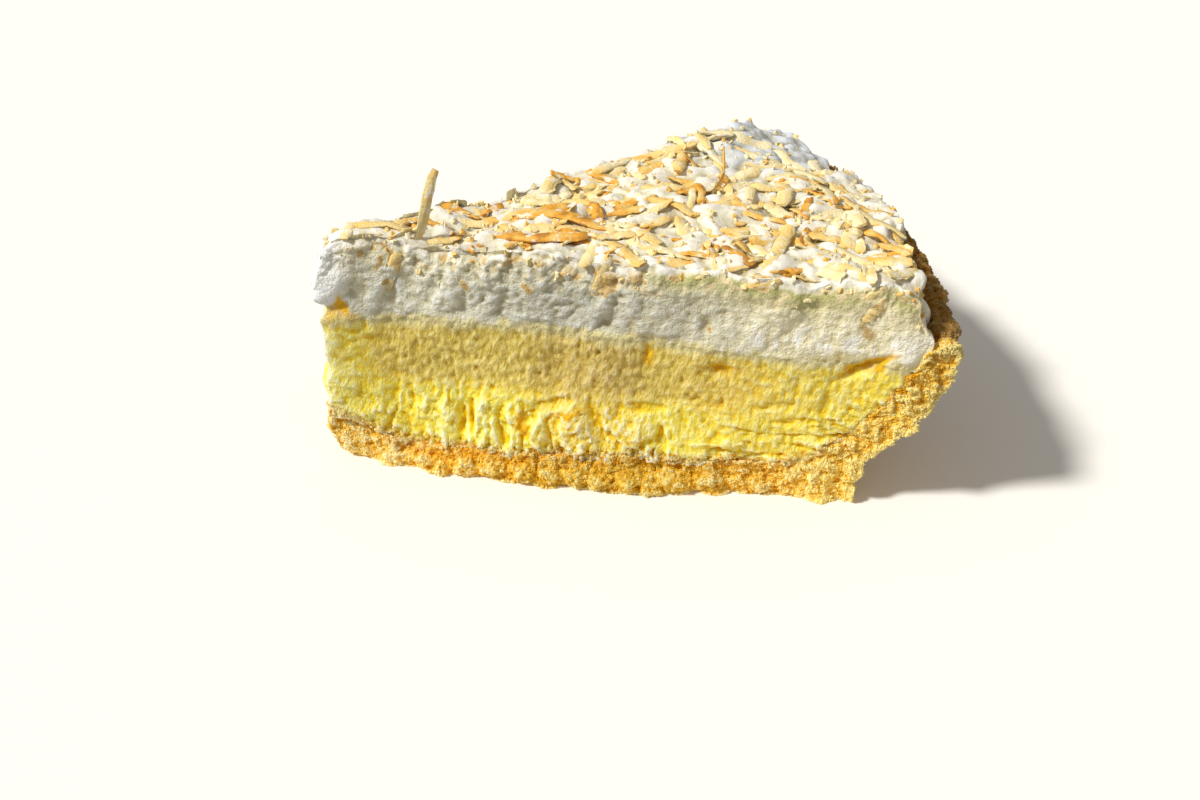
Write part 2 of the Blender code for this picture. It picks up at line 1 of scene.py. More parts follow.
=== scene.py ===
"""The looks of a slice of coconut cream pie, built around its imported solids.

The three layers are made again from the values of their solids, with the crumbs, tears and
pores that those leave out. The coconut lies where the solids have it, with finer bits between.
All lengths are in metres, and the slice's tip points to -X.
"""

import math

import bmesh
import bpy
import numpy as np
from mathutils import Matrix, Vector


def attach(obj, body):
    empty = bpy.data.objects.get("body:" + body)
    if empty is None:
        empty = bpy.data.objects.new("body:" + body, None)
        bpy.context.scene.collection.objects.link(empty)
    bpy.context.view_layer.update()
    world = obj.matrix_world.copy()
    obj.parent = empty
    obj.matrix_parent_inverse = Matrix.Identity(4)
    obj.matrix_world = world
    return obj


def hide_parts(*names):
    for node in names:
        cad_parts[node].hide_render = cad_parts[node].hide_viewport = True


# The pie and the cut
SLICE_ANGLE = math.radians(45)
HALF_ANGLE = SLICE_ANGLE / 2
TIP_X = -0.0523
TIP_RADIUS = 0.003
NOSE_REACH = 0.005
NOSE_HALF_WIDTH = 0.0045
BASE_RADIUS = 0.0942
RIM_RADIUS = 0.1073
RIM_HEIGHT = 0.0355
FOOT_HEIGHT = 0.004
FLARE_HEIGHT = 0.0285
OVERLAP = 0.0002  # how far one layer reaches into the next, so that no gap shows

# The crumb crust
CRUST_FLOOR = 0.0046
CRUST_FLOOR_SLOPE = 0.045
CRUST_INSIDE_RADIUS = 0.1028
CRUST_WALL_RISE = 0.0252
CRUST_BEND_RADIUS = 0.058
CRUST_BEND_POWER = 4.8
CRUST_CREST = 0.0011
CRUMB_SIZE = 0.0046
CRUMB_RELIEF = 0.0030
WALL_RELIEF = 0.0024
CRUST_NOSE = 0.0060
NOSE_UNDERCUT = 0.0030
NOSE_UNDERCUT_HEIGHT = 0.0065
TIP_HEAP = 0.0075
TIP_HEAP_REACH = 0.009
LEDGE = 0.0044
LEDGE_STARTS = 0.009
LEDGE_ENDS = (0.048, 0.080)

# The custard and the cream
CUSTARD_TOP = 0.0312
CUSTARD_DIP = 0.0010
CUSTARD_THIN_END = 0.0009
CUSTARD_NOSE = 0.0060
CRAG_SIZES = (0.0052, 0.0034)
CRAG_RELIEF = 0.0034
TORN_LEAST = 0.15
CUSTARD_FOOT = 0.0022
JOIN_WAVE = 0.0010
CREAM_TOP = 0.0445
CREAM_NOSE = 0.0062
GROOVE_DEPTH = 0.0020
GROOVE_HEIGHT = 0.0328
GROOVE_HALF_WIDTH = 0.0014
PEAKS = ((0.0013, 0.011), (0.0008, 0.005))
DENTS = ((0.0010, 0.0065), (0.0004, 0.0030))
CREAM_TIP_RISE = 0.0014
CREAM_TIP_REACH = 0.018
CREAM_EDGE_REACH = (0.0040, 0.0240)
CREAM_EDGE_DROP = (0.0020, 0.0056)
CREAM_EDGE_POWER = 1.6
CREAM_BULGE = (0.0, 0.0030)
CREAM_BULGE_FOOT = 0.0368
CREAM_BULGE_RISE = 0.0012
CREAM_SET_BACK = 0.0024
SET_BACK_STARTS = 0.092
SET_BACK_FOOT = 0.0362
SET_BACK_RISE = 0.0050

# Hollows in the front cut: the middle's radius and height, half length and height, slant, depth
CREAM_HOLLOWS = (
    (0.0656, 0.0350, 0.0011, 0.0020, -20, 0.0016),
    (0.0830, 0.0395, 0.0022, 0.0012, 10, 0.0007),
    (0.0300, 0.0375, 0.0030, 0.0010, 0, 0.0006),
    (0.0952, 0.0311, 0.0034, 0.0009, 33, 0.0013),
)
CUSTARD_HOLLOWS = (
    (0.0925, 0.0292, 0.0050, 0.0010, 33, 0.0015),
    (0.0682, 0.0266, 0.0022, 0.0010, 5, 0.0011),
    (0.0480, 0.0130, 0.0014, 0.0040, 12, 0.0012),
    (0.0230, 0.0120, 0.0016, 0.0036, -10, 0.0012),
)

# Crags of the custard's front cut: as the hollows, with a block's depth below 0
CUSTARD_CRAGS = (
    (0.0200, 0.0108, 0.0018, 0.0050, 4, -0.0012),
    (0.0245, 0.0128, 0.0007, 0.0034, 0, 0.0016),
    (0.0262, 0.0120, 0.0014, 0.0040, 3, -0.0014),
    (0.0302, 0.0117, 0.0013, 0.0036, 14, 0.0022),
    (0.0142, 0.0155, 0.0013, 0.0014, 0, 0.0012),
    (0.0385, 0.0166, 0.0046, 0.0010, 20, 0.0010),
    (0.0430, 0.0118, 0.0022, 0.0056, 12, -0.0016),
    (0.0370, 0.0110, 0.0014, 0.0026, -10, -0.0010),
    (0.0350, 0.0140, 0.0018, 0.0010, 30, 0.0012),
    (0.0555, 0.0178, 0.0042, 0.0010, 2, 0.0009),
    (0.0547, 0.0142, 0.0032, 0.0024, 0, -0.0012),
    (0.0593, 0.0112, 0.0010, 0.0034, 8, 0.0018),
    (0.0642, 0.0207, 0.0018, 0.0010, 20, 0.0007),
    (0.0560, 0.0292, 0.0011, 0.0036, 4, 0.0006),
    (0.0872, 0.0215, 0.0010, 0.0024, -8, 0.0010),
    (0.0824, 0.0178, 0.0046, 0.0007, 10, 0.0008),
    (0.0850, 0.0150, 0.0040, 0.0007, 8, 0.0008),
    (0.0790, 0.0205, 0.0034, 0.0007, 16, 0.0007),
)

# The custard's tears, upright on the left and level on the right: each layer of chips has its
# height, lean, stretch sideways and upright, size and seed
UPRIGHT_TEARS = (
    (0.65, 0.15, 1.0, 0.36, 0.0021, 51),
    (0.9, 0.0, 1.0, 0.6, 0.0013, 55),
    (0.5, 0.0, 1.0, 0.6, 0.0007, 58),
)
LEVEL_TEARS = (
    (0.8, 0.0, 0.24, 1.3, 0.0019, 52),
    (0.9, 0.0, 0.34, 1.1, 0.0013, 59),
)

# Where the custard's slits are painted deep gold as their shade: as the hollows, with a share in
# place of a depth
GOLDEN_SLITS = (
    (0.0936, 0.0299, 0.0050, 0.0012, 33, 1.0),
    (0.0682, 0.0267, 0.0020, 0.0010, 5, 1.0),
    (0.0565, 0.0282, 0.0010, 0.0030, 4, 0.62),
    (0.0420, 0.0150, 0.0030, 0.0010, 25, 0.8),
    (0.0330, 0.0115, 0.0012, 0.0030, 10, 0.8),
    (0.0013, 0.0336, 0.0014, 0.0028, 8, 0.9),
    (0.0008, 0.0320, 0.0048, 0.0018, 0, 0.50),
)

# Toasted bits that lie flush in the front cut of the cream: as the hollows, with a share
# in place of a depth
FLUSH_BITS = (
    (0.0092, 0.0415, 0.0012, 0.0030, -5, 0.55),
    (0.0095, 0.0450, 0.0022, 0.0008, 0, 1.00),
    (0.0052, 0.0436, 0.0012, 0.0014, 0, 0.60),
    (0.0118, 0.0424, 0.0008, 0.0024, 25, 0.85),
    (0.0107, 0.0384, 0.0006, 0.0012, 0, 0.95),
    (0.0206, 0.0437, 0.0013, 0.0013, 0, 0.75),
    (0.0234, 0.0387, 0.0014, 0.0010, 20, 0.75),
    (0.0326, 0.0441, 0.0026, 0.0009, 14, 0.70),
    (0.0344, 0.0395, 0.0010, 0.0007, 0, 0.80),
    (0.0275, 0.0436, 0.0016, 0.0008, 10, 0.50),
    (0.0063, 0.0365, 0.0008, 0.0008, 0, 0.50),
    (0.0381, 0.0445, 0.0018, 0.0009, 0, 0.55),
    (0.0437, 0.0418, 0.0012, 0.0012, 30, 0.50),
    (0.0486, 0.0430, 0.0017, 0.0040, -6, 0.95),
    (0.0536, 0.0440, 0.0020, 0.0026, -15, 0.75),
    (0.0605, 0.0426, 0.0010, 0.0010, 0, 0.70),
    (0.0662, 0.0341, 0.0006, 0.0010, -25, 1.00),
    (0.0748, 0.0437, 0.0026, 0.0014, 0, 0.70),
    (0.0857, 0.0450, 0.0018, 0.0008, 0, 0.60),
    (0.0940, 0.0415, 0.0014, 0.0016, 0, 0.65),
    (0.0923, 0.0362, 0.0021, 0.0018, -20, 0.60),
    (0.0884, 0.0358, 0.0010, 0.0015, 0, 0.35),
    (0.0973, 0.0432, 0.0018, 0.0006, -15, 0.60),
)

# The toasted coconut that the solids have
SHRED_COUNT = 50
SHRED_LENGTHS = (0.0055, 0.0150)
SHRED_WIDTH = 0.0022
SHRED_RISE = 0.0007
SHRED_CANDIDATES = 24
SHRED_RADII = (0.004, 0.099)
SHRED_INSET = 0.0030
BARE_CORNER = (0.088, 12)
# radius and angle of the middle, height over the cream, heading, lean, length, how toasted
NOTABLE_SHREDS = (
    (0.0174, -9.0, 0.0048, 14, 77, 0.0168, 0.35),
    (0.0358, -12.3, 0.0012, -20, 2, 0.0178, 0.85),
    (0.0413, -1.5, 0.0011, -27, -2, 0.0163, 0.80),
    (0.0771, -14.6, 0.0013, 55, 4, 0.0158, 0.50),
    (0.0734, 5.1, 0.0030, 70, 48, 0.0120, 0.70),
    (0.0112, -29.5, -0.0058, 40, 72, 0.0080, 0.25),
    (0.0476, -22.9, -0.0016, 60, 70, 0.0075, 0.38),
    (0.0745, -22.4, -0.0012, -15, 18, 0.0060, 0.42),
    (0.0930, -22.4, -0.0018, -30, 40, 0.0038, 0.28),
    (0.0925, -22.4, -0.0058, -20, 60, 0.0038, 0.32),
)
LONG_SHRED = 0.012  # a shred that stands out and is longer than this is also wider
STANDING = 0.7  # radians of lean past which a shred stands on edge
PALER_FAR = 0.65  # how much of its toasting a shred loses at the far corner
# A standing shred has its foot moved left if it is longer than the first, and by the second
STANDING_FOOT = (0.009, 0.0016)
# those that lie flat: radius and angle of the middle, heading, length, how toasted
FLAT_SHREDS = (
    (0.0042, 2.6, 69, 0.0055, 0.20),
    (0.0096, 0.4, -17, 0.0085, 0.35),
    (0.0147, 7.7, 23, 0.0060, 0.55),
    (0.0197, 2.6, -52, 0.0068, 0.85),
    (0.0202, -10.1, 12, 0.0056, 0.55),
    (0.0252, 14.1, -33, 0.0072, 0.80),
    (0.0308, 14.1, 42, 0.0064, 0.85),
    (0.0307, 6.1, -6, 0.0050, 0.60),
    (0.0456, 7.1, -41, 0.0075, 0.55),
    (0.0400, 10.7, -30, 0.0060, 0.30),
    (0.0452, -17.6, 58, 0.0080, 0.30),
    (0.0527, -0.7, 3, 0.0068, 0.70),
    (0.0496, -10.4, -5, 0.0066, 0.35),
    (0.0546, 2.2, 25, 0.0078, 0.70),
    (0.0611, -1.5, -47, 0.0095, 0.62),
    (0.0678, 9.0, -30, 0.0060, 0.60),
    (0.0760, 9.7, 80, 0.0099, 0.75),
    (0.0783, 17.1, 89, 0.0066, 0.55),
    (0.0712, -8.3, -9, 0.0080, 0.50),
    (0.0758, -5.0, -45, 0.0105, 0.62),
    (0.0857, -6.0, -59, 0.0098, 0.50),
    (0.0893, -2.2, -49, 0.0058, 0.68),
    (0.0857, -10.4, -34, 0.0075, 0.45),
    (0.0955, -10.2, -67, 0.0052, 0.70),
    (0.0975, -13.6, -66, 0.0066, 0.55),
    (0.0638, -11.5, -25, 0.0088, 0.85),
    (0.0580, -15.7, -42, 0.0104, 0.35),
    (0.0701, -17.2, -63, 0.0072, 0.90),
    (0.0795, -19.0, 37, 0.0055, 0.75),
    (0.0850, -15.0, -34, 0.0070, 0.40),
    (0.0915, -17.6, -54, 0.0050, 0.30),
    (0.0858, 5.2, -12, 0.0056, 0.35),
    (0.0960, 3.7, -84, 0.0062, 0.50),
    (0.0590, 9.5, -42, 0.0060, 0.50),
    (0.0622, 5.6, -22, 0.0060, 0.35),
    (0.0570, -6.3, 14, 0.0062, 0.50),
    (0.0425, -5.5, -12, 0.0070, 0.55),
)

# The finer coconut that only the eye needs
FINE_SHRED_COUNT = 165
FINE_SHRED_LENGTHS = (0.0028, 0.0085)
FINE_SHRED_WIDTHS = (0.0013, 0.0025)
SHRED_WIDTHS = (0.0021, 0.0033)
SHRED_SHORTENED = 0.85  # the share of the solids' random lengths that the real shreds have
BIT_PROUD = -0.0001  # how far the middle of a bit set in the cut stands out of the cream
SHRED_POINTS = 10
GRAIN_KINDS = 10
SHRED_THICKNESS = 0.25  # of its width
SHRED_SINK = 0.00045  # how far the real shreds lie lower than the solids' strips
DRAPE = 0.75  # how closely a shred that lies flat follows the cream
HEAP_SHARE = 0.3  # how much of the small heaps of the cream such a shred follows
# bits set in the front cut of the cream: radius, height, slant, length, width, how toasted
BITS_IN_CUT = (
    (0.0745, 0.0445, -10, 0.0040, 0.0018, 0.45),
    (0.0975, 0.0437, 10, 0.0024, 0.0016, 0.45),
)

# Fine relief. Of grains each layer has its height, size and seed, and of soft noise height and size
CRUMBS_MEAN = 0.45
CRUST_GRAINS = ((0.0007, 0.0026, 13), (0.0006, 0.0012, 14))
BRIM_GRAINS = ((0.0008, 0.0021, 67), (0.0006, 0.0010, 68))
CREAM_GRAIN = ((0.00040, 0.0030), (0.00032, 0.0014), (0.00022, 0.0007))
CREAM_HEAPS = ((0.0007, 0.0044), (0.0003, 0.0019), (0.00012, 0.0009))
SHRED_GRAIN = ((0.00012, 0.0021), (0.00009, 0.0008))

# How finely each layer is made: stations, levels and angles, and the triangles it keeps
CRUST_FINENESS = (380, 28, 140)
CUSTARD_FINENESS = (330, 100, 28)
CREAM_FINENESS = (300, 46, 150)
MOST_TRIANGLES = 188000
JOIN_ANGLE = 62  # edges sharper than this stay crisp

# How far crust and custard pass each other at the cuts, so that their relief draws the border
BORDER_OVERLAP = 0.0012
JOIN_COLOUR = (0.76, 0.66, 0.32)  # of the smear where the cream meets the custard
# deep gold painted into the slits as their shade
SLIT_COLOUR = (0.86, 0.50, 0.008)
# The duller middle of each layer's cut: where along X it comes on, and where it goes off
CRUST_MIDDLE = ((-0.034, -0.020), (-0.004, 0.026))
CUSTARD_MIDDLE = ((-0.024, -0.014), (-0.006, 0.004))
CREAM_MIDDLE = ((-0.030, -0.018), (0.004, 0.014))

# The light and the camera, as in the photograph
DAYLIGHT = (1.0, 0.965, 0.90)
SKY_STRENGTH = 0.36
SUN_STRENGTH = 3.9
SUN_WIDTH = 8  # degrees
SUN_DIRECTION = (0.687, 0.060, -0.72)
GROUND_REACH = (0.026, 0.095)  # round most of the slice, and at the corner of its front
GROUND_LIFT = -0.0001  # just under the floor, so that no edge of it shows
GROUND_COLOUR = (0.95, 0.84, 0.60)
FLOOR_COLOUR = (0.86, 0.85, 0.83)
FLOOR_REACH = 3.0
CAMERA_PLACE = (-0.0552, -0.2001, 0.1533)
CAMERA_TURN = (14.5, 35.88, 1.03)  # degrees: to the right, down, and how far its head is turned
CAMERA_LENS = 39.0  # mm, for a picture 36 mm wide


def smooth(t):
    """An S-shaped rise from 0 to 1 as t goes from 0 to 1."""
    t = np.clip(t, 0.0, 1.0)
    return t * t * (3.0 - 2.0 * t)


def onset(value, start, width):
    """0 up to start, 1 from a width further on, and smooth between."""
    return smooth((value - start) / width)


def bell(t):
    """1 at 0, and falling off smoothly on both sides."""
    return np.exp(-(t**2))


def front_to_back(ends, angle):
    """A value that goes from its first end towards the front cut to its second towards the back."""
    first, second = ends
    return first + (second - first) * smooth(angle / HALF_ANGLE + 0.5)


def lumps(points, size, seed):
    """Soft noise from -1 to 1 whose lumps are about size across."""
    table = np.random.default_rng(seed).uniform(-1.0, 1.0, (32, 32, 32))
    scaled = np.asarray(points) / size
    cell = np.floor(scaled).astype(int)
    share = smooth(scaled - cell)
    total = np.zeros(scaled.shape[:-1])
    for corner in np.ndindex(2, 2, 2):
        index = (cell + corner) % 32
        weight = np.where(np.array(corner) == 1, share, 1.0 - share).prod(axis=-1)
        total += weight * table[index[..., 0], index[..., 1], index[..., 2]]
    return total


def layered_lumps(points, layers, seed):
    """The sum of soft noises, each given by its height and size."""
    return sum(
        height * lumps(points, size, seed + number)
        for number, (height, size) in enumerate(layers)
    )


def crumbs(points, size, seed):
    """Rounded bumps packed side by side: 1 at the middle of each, and 0 between them."""
    table = np.random.default_rng(seed).uniform(0.15, 0.85, (16, 16, 16, 3))
    scaled = np.asarray(points) / size
    cell = np.floor(scaled).astype(int)
    nearest = np.full(scaled.shape[:-1], 4.0)
    for step in np.ndindex(3, 3, 3):
        neighbour = cell + np.array(step) - 1
        index = neighbour % 16
        middle = neighbour + table[index[..., 0], index[..., 1], index[..., 2]]
        nearest = np.minimum(nearest, np.linalg.norm(scaled - middle, axis=-1))
    return np.clip(1.0 - nearest, 0.0, 1.0)


def grainy(points, layers):
    """The sum of crumbs of several sizes, as high as it is deep."""
    return sum(height * (crumbs(points, size, seed) - CRUMBS_MEAN) for height, size, seed in layers)


def chips(points, size, seed):
    """Flat-faced chips packed side by side, each at its own depth and tilt: from about -1 to 1."""
    draw = np.random.default_rng(seed)
    middles = draw.uniform(0.1, 0.9, (16, 16, 16, 3))
    depths = draw.uniform(-0.7, 0.7, (16, 16, 16))
    tilts = draw.normal(0.0, 0.6, (16, 16, 16, 3))
    scaled = np.asarray(points) / size
    cell = np.floor(scaled).astype(int)
    nearest = np.full(scaled.shape[:-1], 4.0)
    height = np.zeros(scaled.shape[:-1])
    for step in np.ndindex(3, 3, 3):
        neighbour = cell + np.array(step) - 1
        index = tuple(np.moveaxis(neighbour % 16, -1, 0))
        away = scaled - neighbour - middles[index]
        distance = np.linalg.norm(away, axis=-1)
        here = depths[index] + (away * tilts[index]).sum(axis=-1)
        height = np.where(distance < nearest, here, height)
        nearest = np.minimum(nearest, distance)
    return height


def stretched(points, sideways, upright):
    """The points squeezed along each way, so that noise on them comes out drawn along it."""
    return points * np.array([sideways, sideways, upright])


def leaning(points, lean):
    """The points sheared, so that what stands upright in noise on them leans to the right."""
    moved = np.array(points, float)
    moved[..., 0] -= lean * moved[..., 2]
    return moved


def torn(points, layers):
    """The sum of layers of chips, each leaning and stretched in its own way."""
    return sum(
        height * chips(stretched(leaning(points, lean), sideways, upright), size, seed)
        for height, lean, sideways, upright, size, seed in layers
    )


def in_pie(radius, angle, height):
    """The points at these radii, angles and heights, as one array with x, y and z last."""
    radius, angle, height = np.broadcast_arrays(radius, angle, height)
    return np.stack(
        [TIP_X + radius * np.cos(angle), radius * np.sin(angle), height], axis=-1
    )


def outer_wall_radius(height):
    """The crust's outside: upright at the foot, flaring out, and upright again at the rim."""
    share = smooth((height - FOOT_HEIGHT) / (FLARE_HEIGHT - FOOT_HEIGHT))
    return BASE_RADIUS + (RIM_RADIUS - BASE_RADIUS) * share


def inside_profile(radius):
    """The height of the crust's inner surface before it is made uneven."""
    bend = (radius - CRUST_BEND_RADIUS) / (CRUST_INSIDE_RADIUS - CRUST_BEND_RADIUS)
    wall = CRUST_WALL_RISE * np.clip(bend, 0.0, 1.0) ** CRUST_BEND_POWER
    return CRUST_FLOOR + CRUST_FLOOR_SLOPE * radius + wall


def polar(places):
    """The radius and the angle in the pie of places given by x and y."""
    x = places[..., 0] - TIP_X
    y = places[..., 1]
    return np.hypot(x, y), np.arctan2(y, np.maximum(x, 1e-4))


def flat(places):
    """The places with their heights set to 0."""
    return places * np.array([1.0, 1.0, 0.0])


def join_wave(places, radius, angle, size, seed):
    """How far a join between layers rises or falls: most at the cuts, and by nothing at the tip."""
    share = np.clip(angle / HALF_ANGLE, -1.0, 1.0) ** 4 * smooth(radius / TIP_HEAP_REACH)
    return JOIN_WAVE * lumps(flat(places), size, seed) * share


def crust_inside(places):
    """The height of the crust's inner surface, which the filling lies on."""
    radius, angle = polar(places)
    heap = TIP_HEAP * bell(radius / TIP_HEAP_REACH)
    return inside_profile(radius) + heap + join_wave(places, radius, angle, 0.011, seed=3)


def custard_top(places):
    """The height where the custard ends and the cream begins."""
    radius, angle = polar(places)
    dip = CUSTARD_DIP * smooth(radius / RIM_RADIUS)
    return CUSTARD_TOP - dip + join_wave(places, radius, angle, 0.014, seed=5)


def cream_top(places):
    """The cream's top: soft peaks, sloping off towards the rim, most of all at the back."""
    radius, angle = polar(places)
    peaks = layered_lumps(flat(places), PEAKS, seed=7)
    tip = CREAM_TIP_RISE * bell(radius / CREAM_TIP_REACH)
    reach = front_to_back(CREAM_EDGE_REACH, angle)
    outward = np.clip(1.0 - (CRUST_INSIDE_RADIUS - radius) / reach, 0.0, 1.0)
    drop = front_to_back(CREAM_EDGE_DROP, angle) * outward**CREAM_EDGE_POWER
    return CREAM_TOP + peaks + tip - drop


def custard_floor(places):
    """The custard reaches a little into the crust, and further at the cuts."""
    at_cut = near_cut(places, 0.0040, 0.0030)
    return crust_inside(places) - OVERLAP - BORDER_OVERLAP * at_cut


def cream_underside(places):
    """The cream reaches a little into the custard and, nearer the rim, into the crust's wall."""
    return np.maximum(custard_top(places), crust_inside(places)) - OVERLAP


def equal_steps(line, count):
    """count points spaced evenly along a line of points."""
    lengths = np.linalg.norm(np.diff(line, axis=0), axis=1)
    travelled = np.concatenate([[0.0], np.cumsum(lengths)])
    wanted = np.linspace(0.0, travelled[-1], count)
    return np.stack([np.interp(wanted, travelled, line[:, i]) for i in (0, 1)], axis=1)


def crust_lines(count):
    """The crust's section as two lines of (radius, height) from tip to rim: outside and inside."""
    floor = np.linspace(TIP_RADIUS, BASE_RADIUS, 200)
    wall = np.linspace(0.0, RIM_HEIGHT, 100)[1:]
    outside = np.concatenate(
        [
            np.stack([floor, np.zeros_like(floor)], axis=1),
            np.stack([outer_wall_radius(wall), wall], axis=1),
        ]
    )
    across = np.linspace(TIP_RADIUS, CRUST_INSIDE_RADIUS, 400)
    inside = np.stack([across, inside_profile(across)], axis=1)
    return equal_steps(outside, count), equal_steps(inside, count)


def outward(angle):
    """The level direction from the tip towards the rim at these angles."""
    return np.stack([np.cos(angle), np.sin(angle), np.zeros_like(angle)], axis=-1)


def set_back(points, radius, angle):
    """How far the cream's outer end leans in from the rim: most at the front cut."""
    near_front = 1.0 - smooth((angle / HALF_ANGLE + 0.75) / 0.8)
    outer = smooth((radius - SET_BACK_STARTS) / (CRUST_INSIDE_RADIUS - SET_BACK_STARTS))
    high = smooth((points[..., 2] - SET_BACK_FOOT) / SET_BACK_RISE)
    return CREAM_SET_BACK * near_front * outer * high


def cut_normal(angle):
    """The way straight out of the nearer cut."""
    side = np.sign(angle)
    return np.stack(
        [
            np.full_like(angle, -math.sin(HALF_ANGLE)),
            side * math.cos(HALF_ANGLE),
            np.zeros_like(angle),
        ],
        axis=-1,
    )


def push_cuts(points, angle, outwards):
    """Moves the points near each cut straight out of it, by outwards at the cut itself."""
    share = np.abs(angle / HALF_ANGLE) ** 8
    return points + cut_normal(angle) * (share * outwards)[..., None]


def nearness_to_tip(radius):
    """1 where the nose begins, and falling off behind it."""
    return bell((radius - TIP_RADIUS) / NOSE_REACH)


def push_tip(points, radius, outwards):
    """Moves the nose of the tip out towards -X, and rounds it."""
    beside = np.clip(np.abs(points[..., 1]) / NOSE_HALF_WIDTH, 0.0, 1.0)
    moved = points.copy()
    moved[..., 0] -= nearness_to_tip(radius) * outwards * np.sqrt(1.0 - 0.9 * beside**2)
    return moved


def tip_groove(height):
    """How much less the tip stands out where the cream meets the custard."""
    return GROOVE_DEPTH * bell((height - GROOVE_HEIGHT) / GROOVE_HALF_WIDTH)


def ledge_share(radius):
    """How far along its full width the ledge is: it grows from the tip and fades before the rim."""
    grows = smooth((radius - TIP_RADIUS) / (LEDGE_STARTS - TIP_RADIUS))
    fades = 1.0 - smooth((radius - LEDGE_ENDS[0]) / (LEDGE_ENDS[1] - LEDGE_ENDS[0]))
    return (0.2 + 0.8 * grows) * fades


def ledge(radius, height):
    """How far the crust's cut stands proud of the custard's: most along the floor."""
    low = 1.0 - 0.45 * smooth(height / CRUST_FLOOR - 0.5)
    return LEDGE * ledge_share(radius) * low


def settle(points, level, floor, ceiling):
    """Sets each point's height again, between floor and ceiling at the place it was moved to."""
    settled = points.copy()
    settled[..., 2] = floor(points) * (1.0 - level) + ceiling(points) * level
    return settled


def hollowed(points, angle, hollows):
    """How deep the hollows are at each point, at the front cut only."""
    along = (points[..., 0] - TIP_X) / math.cos(HALF_ANGLE)
    depth = np.zeros(points.shape[:-1])
    for radius, height, half_length, half_height, slant, deepest in hollows:
        turn = math.radians(slant)
        u = along - radius
        v = points[..., 2] - height
        across = (u * math.cos(turn) + v * math.sin(turn)) / half_length
        up = (v * math.cos(turn) - u * math.sin(turn)) / half_height
        depth = np.maximum(depth, deepest * np.exp(-(across**2) - up**2))
    return np.where(angle < 0, depth, 0.0)


def craggy(points, angle, crags):
    """How deep the crags are at each point of the front cut, with steep sides."""
    total = np.zeros(points.shape[:-1])
    for crag in crags:
        deepest = crag[-1]
        share = hollowed(points, angle, [(*crag[:-1], 1.0)])
        total += deepest * smooth(share * 2.2 - 0.35)
    return total


def block_shell(counts):
    """The outside of a block of points: their station, level and angle numbers, and the faces."""
    index = np.full(counts, -1)
    outside = np.ones(counts, bool)
    outside[1:-1, 1:-1, 1:-1] = False
    index[outside] = np.arange(outside.sum())
    sides = (
        (index[:, 0, :], False),
        (index[:, -1, :], True),
        (index[:, :, 0], True),
        (index[:, :, -1], False),
        (index[0], True),
        (index[-1], False),
    )
    faces = []
    for grid, turned in sides:
        corners = [grid[:-1, :-1], grid[1:, :-1], grid[1:, 1:], grid[:-1, 1:]]
        quads = np.stack([c.ravel() for c in corners], axis=1)
        faces.append(quads[:, ::-1] if turned else quads)
    return np.nonzero(outside), np.concatenate(faces)


def point_normals(points, faces):
    """The way out of the surface at each point, from the four-sided faces around it."""
    first, second, third, fourth = (points[faces[:, corner]] for corner in range(4))
    across = np.cross(third - first, fourth - second)
    total = np.zeros_like(points)
    for corner in range(4):
        for axis in range(3):
            total[:, axis] += np.bincount(faces[:, corner], across[:, axis], len(points))
    return total / np.maximum(np.linalg.norm(total, axis=1), 1e-15)[:, None]


def solid_piece(name, points, faces, finish):
    """A closed piece from points and faces, thinned where it is plain until it is small enough."""
    mesh = bpy.data.meshes.new(name)
    mesh.from_pydata(points.tolist(), [], faces.tolist())
    shell = bmesh.new()
    shell.from_mesh(mesh)
    bmesh.ops.recalc_face_normals(shell, faces=shell.faces)
    shell.to_mesh(mesh)
    shell.free()
    piece = new_object(name, mesh)
    if 2 * len(faces) > MOST_TRIANGLES:
        thin = piece.modifiers.new("plain parts merged", "DECIMATE")
        thin.ratio = MOST_TRIANGLES / (2 * len(faces))
        thin.use_collapse_triangulate = True
        apply_modifiers(piece)
    piece.data.materials.clear()
    piece.data.materials.append(finish)
    piece.data.shade_smooth()
    return piece


def new_object(name, data):
    """A new object in the scene, which shows this mesh, light or camera."""
    made = bpy.data.objects.new(name, data)
    bpy.context.scene.collection.objects.link(made)
    return made


def apply_modifiers(piece):
    """Gives the piece the mesh that its modifiers make, and removes them."""
    graph = bpy.context.evaluated_depsgraph_get()
    made = bpy.data.meshes.new_from_object(piece.evaluated_get(graph))
    piece.modifiers.clear()
    old = piece.data
    piece.data = made
    bpy.data.meshes.remove(old)


def vertex_places(mesh):
    places = np.zeros(len(mesh.vertices) * 3)
    mesh.vertices.foreach_get("co", places)
    return places.reshape(-1, 3)


def vertex_normals(mesh):
    normals = np.zeros(len(mesh.vertices) * 3)
    mesh.vertex_normals.foreach_get("vector", normals)
    return normals.reshape(-1, 3)


def store(piece, name, values):
    """Keeps a number for each vertex, for the finish to read."""
    layer = piece.data.attributes.new(name, "FLOAT", "POINT")
    layer.data.foreach_set("value", np.asarray(values, np.float32))


def proudness(piece, rounds, scale):
    """How far each vertex stands out of its surroundings: 0 deep in a crevice, 1 on a tip."""
    mesh = piece.data
    places = vertex_places(mesh)
    ends = np.zeros(len(mesh.edges) * 2, np.int32)
    mesh.edges.foreach_get("vertices", ends)
    first, second = ends.reshape(-1, 2).T
    count = len(places)
    neighbours = np.bincount(first, minlength=count) + np.bincount(second, minlength=count)
    blurred = places.copy()
    for _ in range(rounds):
        total = np.stack(
            [
                np.bincount(first, blurred[second, axis], count)
                + np.bincount(second, blurred[first, axis], count)
                for axis in range(3)
            ],
            axis=1,
        )
        blurred = total / np.maximum(neighbours, 1)[:, None]
    out = ((places - blurred) * vertex_normals(mesh)).sum(axis=1)
    return np.clip(0.5 + out / (2 * scale), 0.0, 1.0)


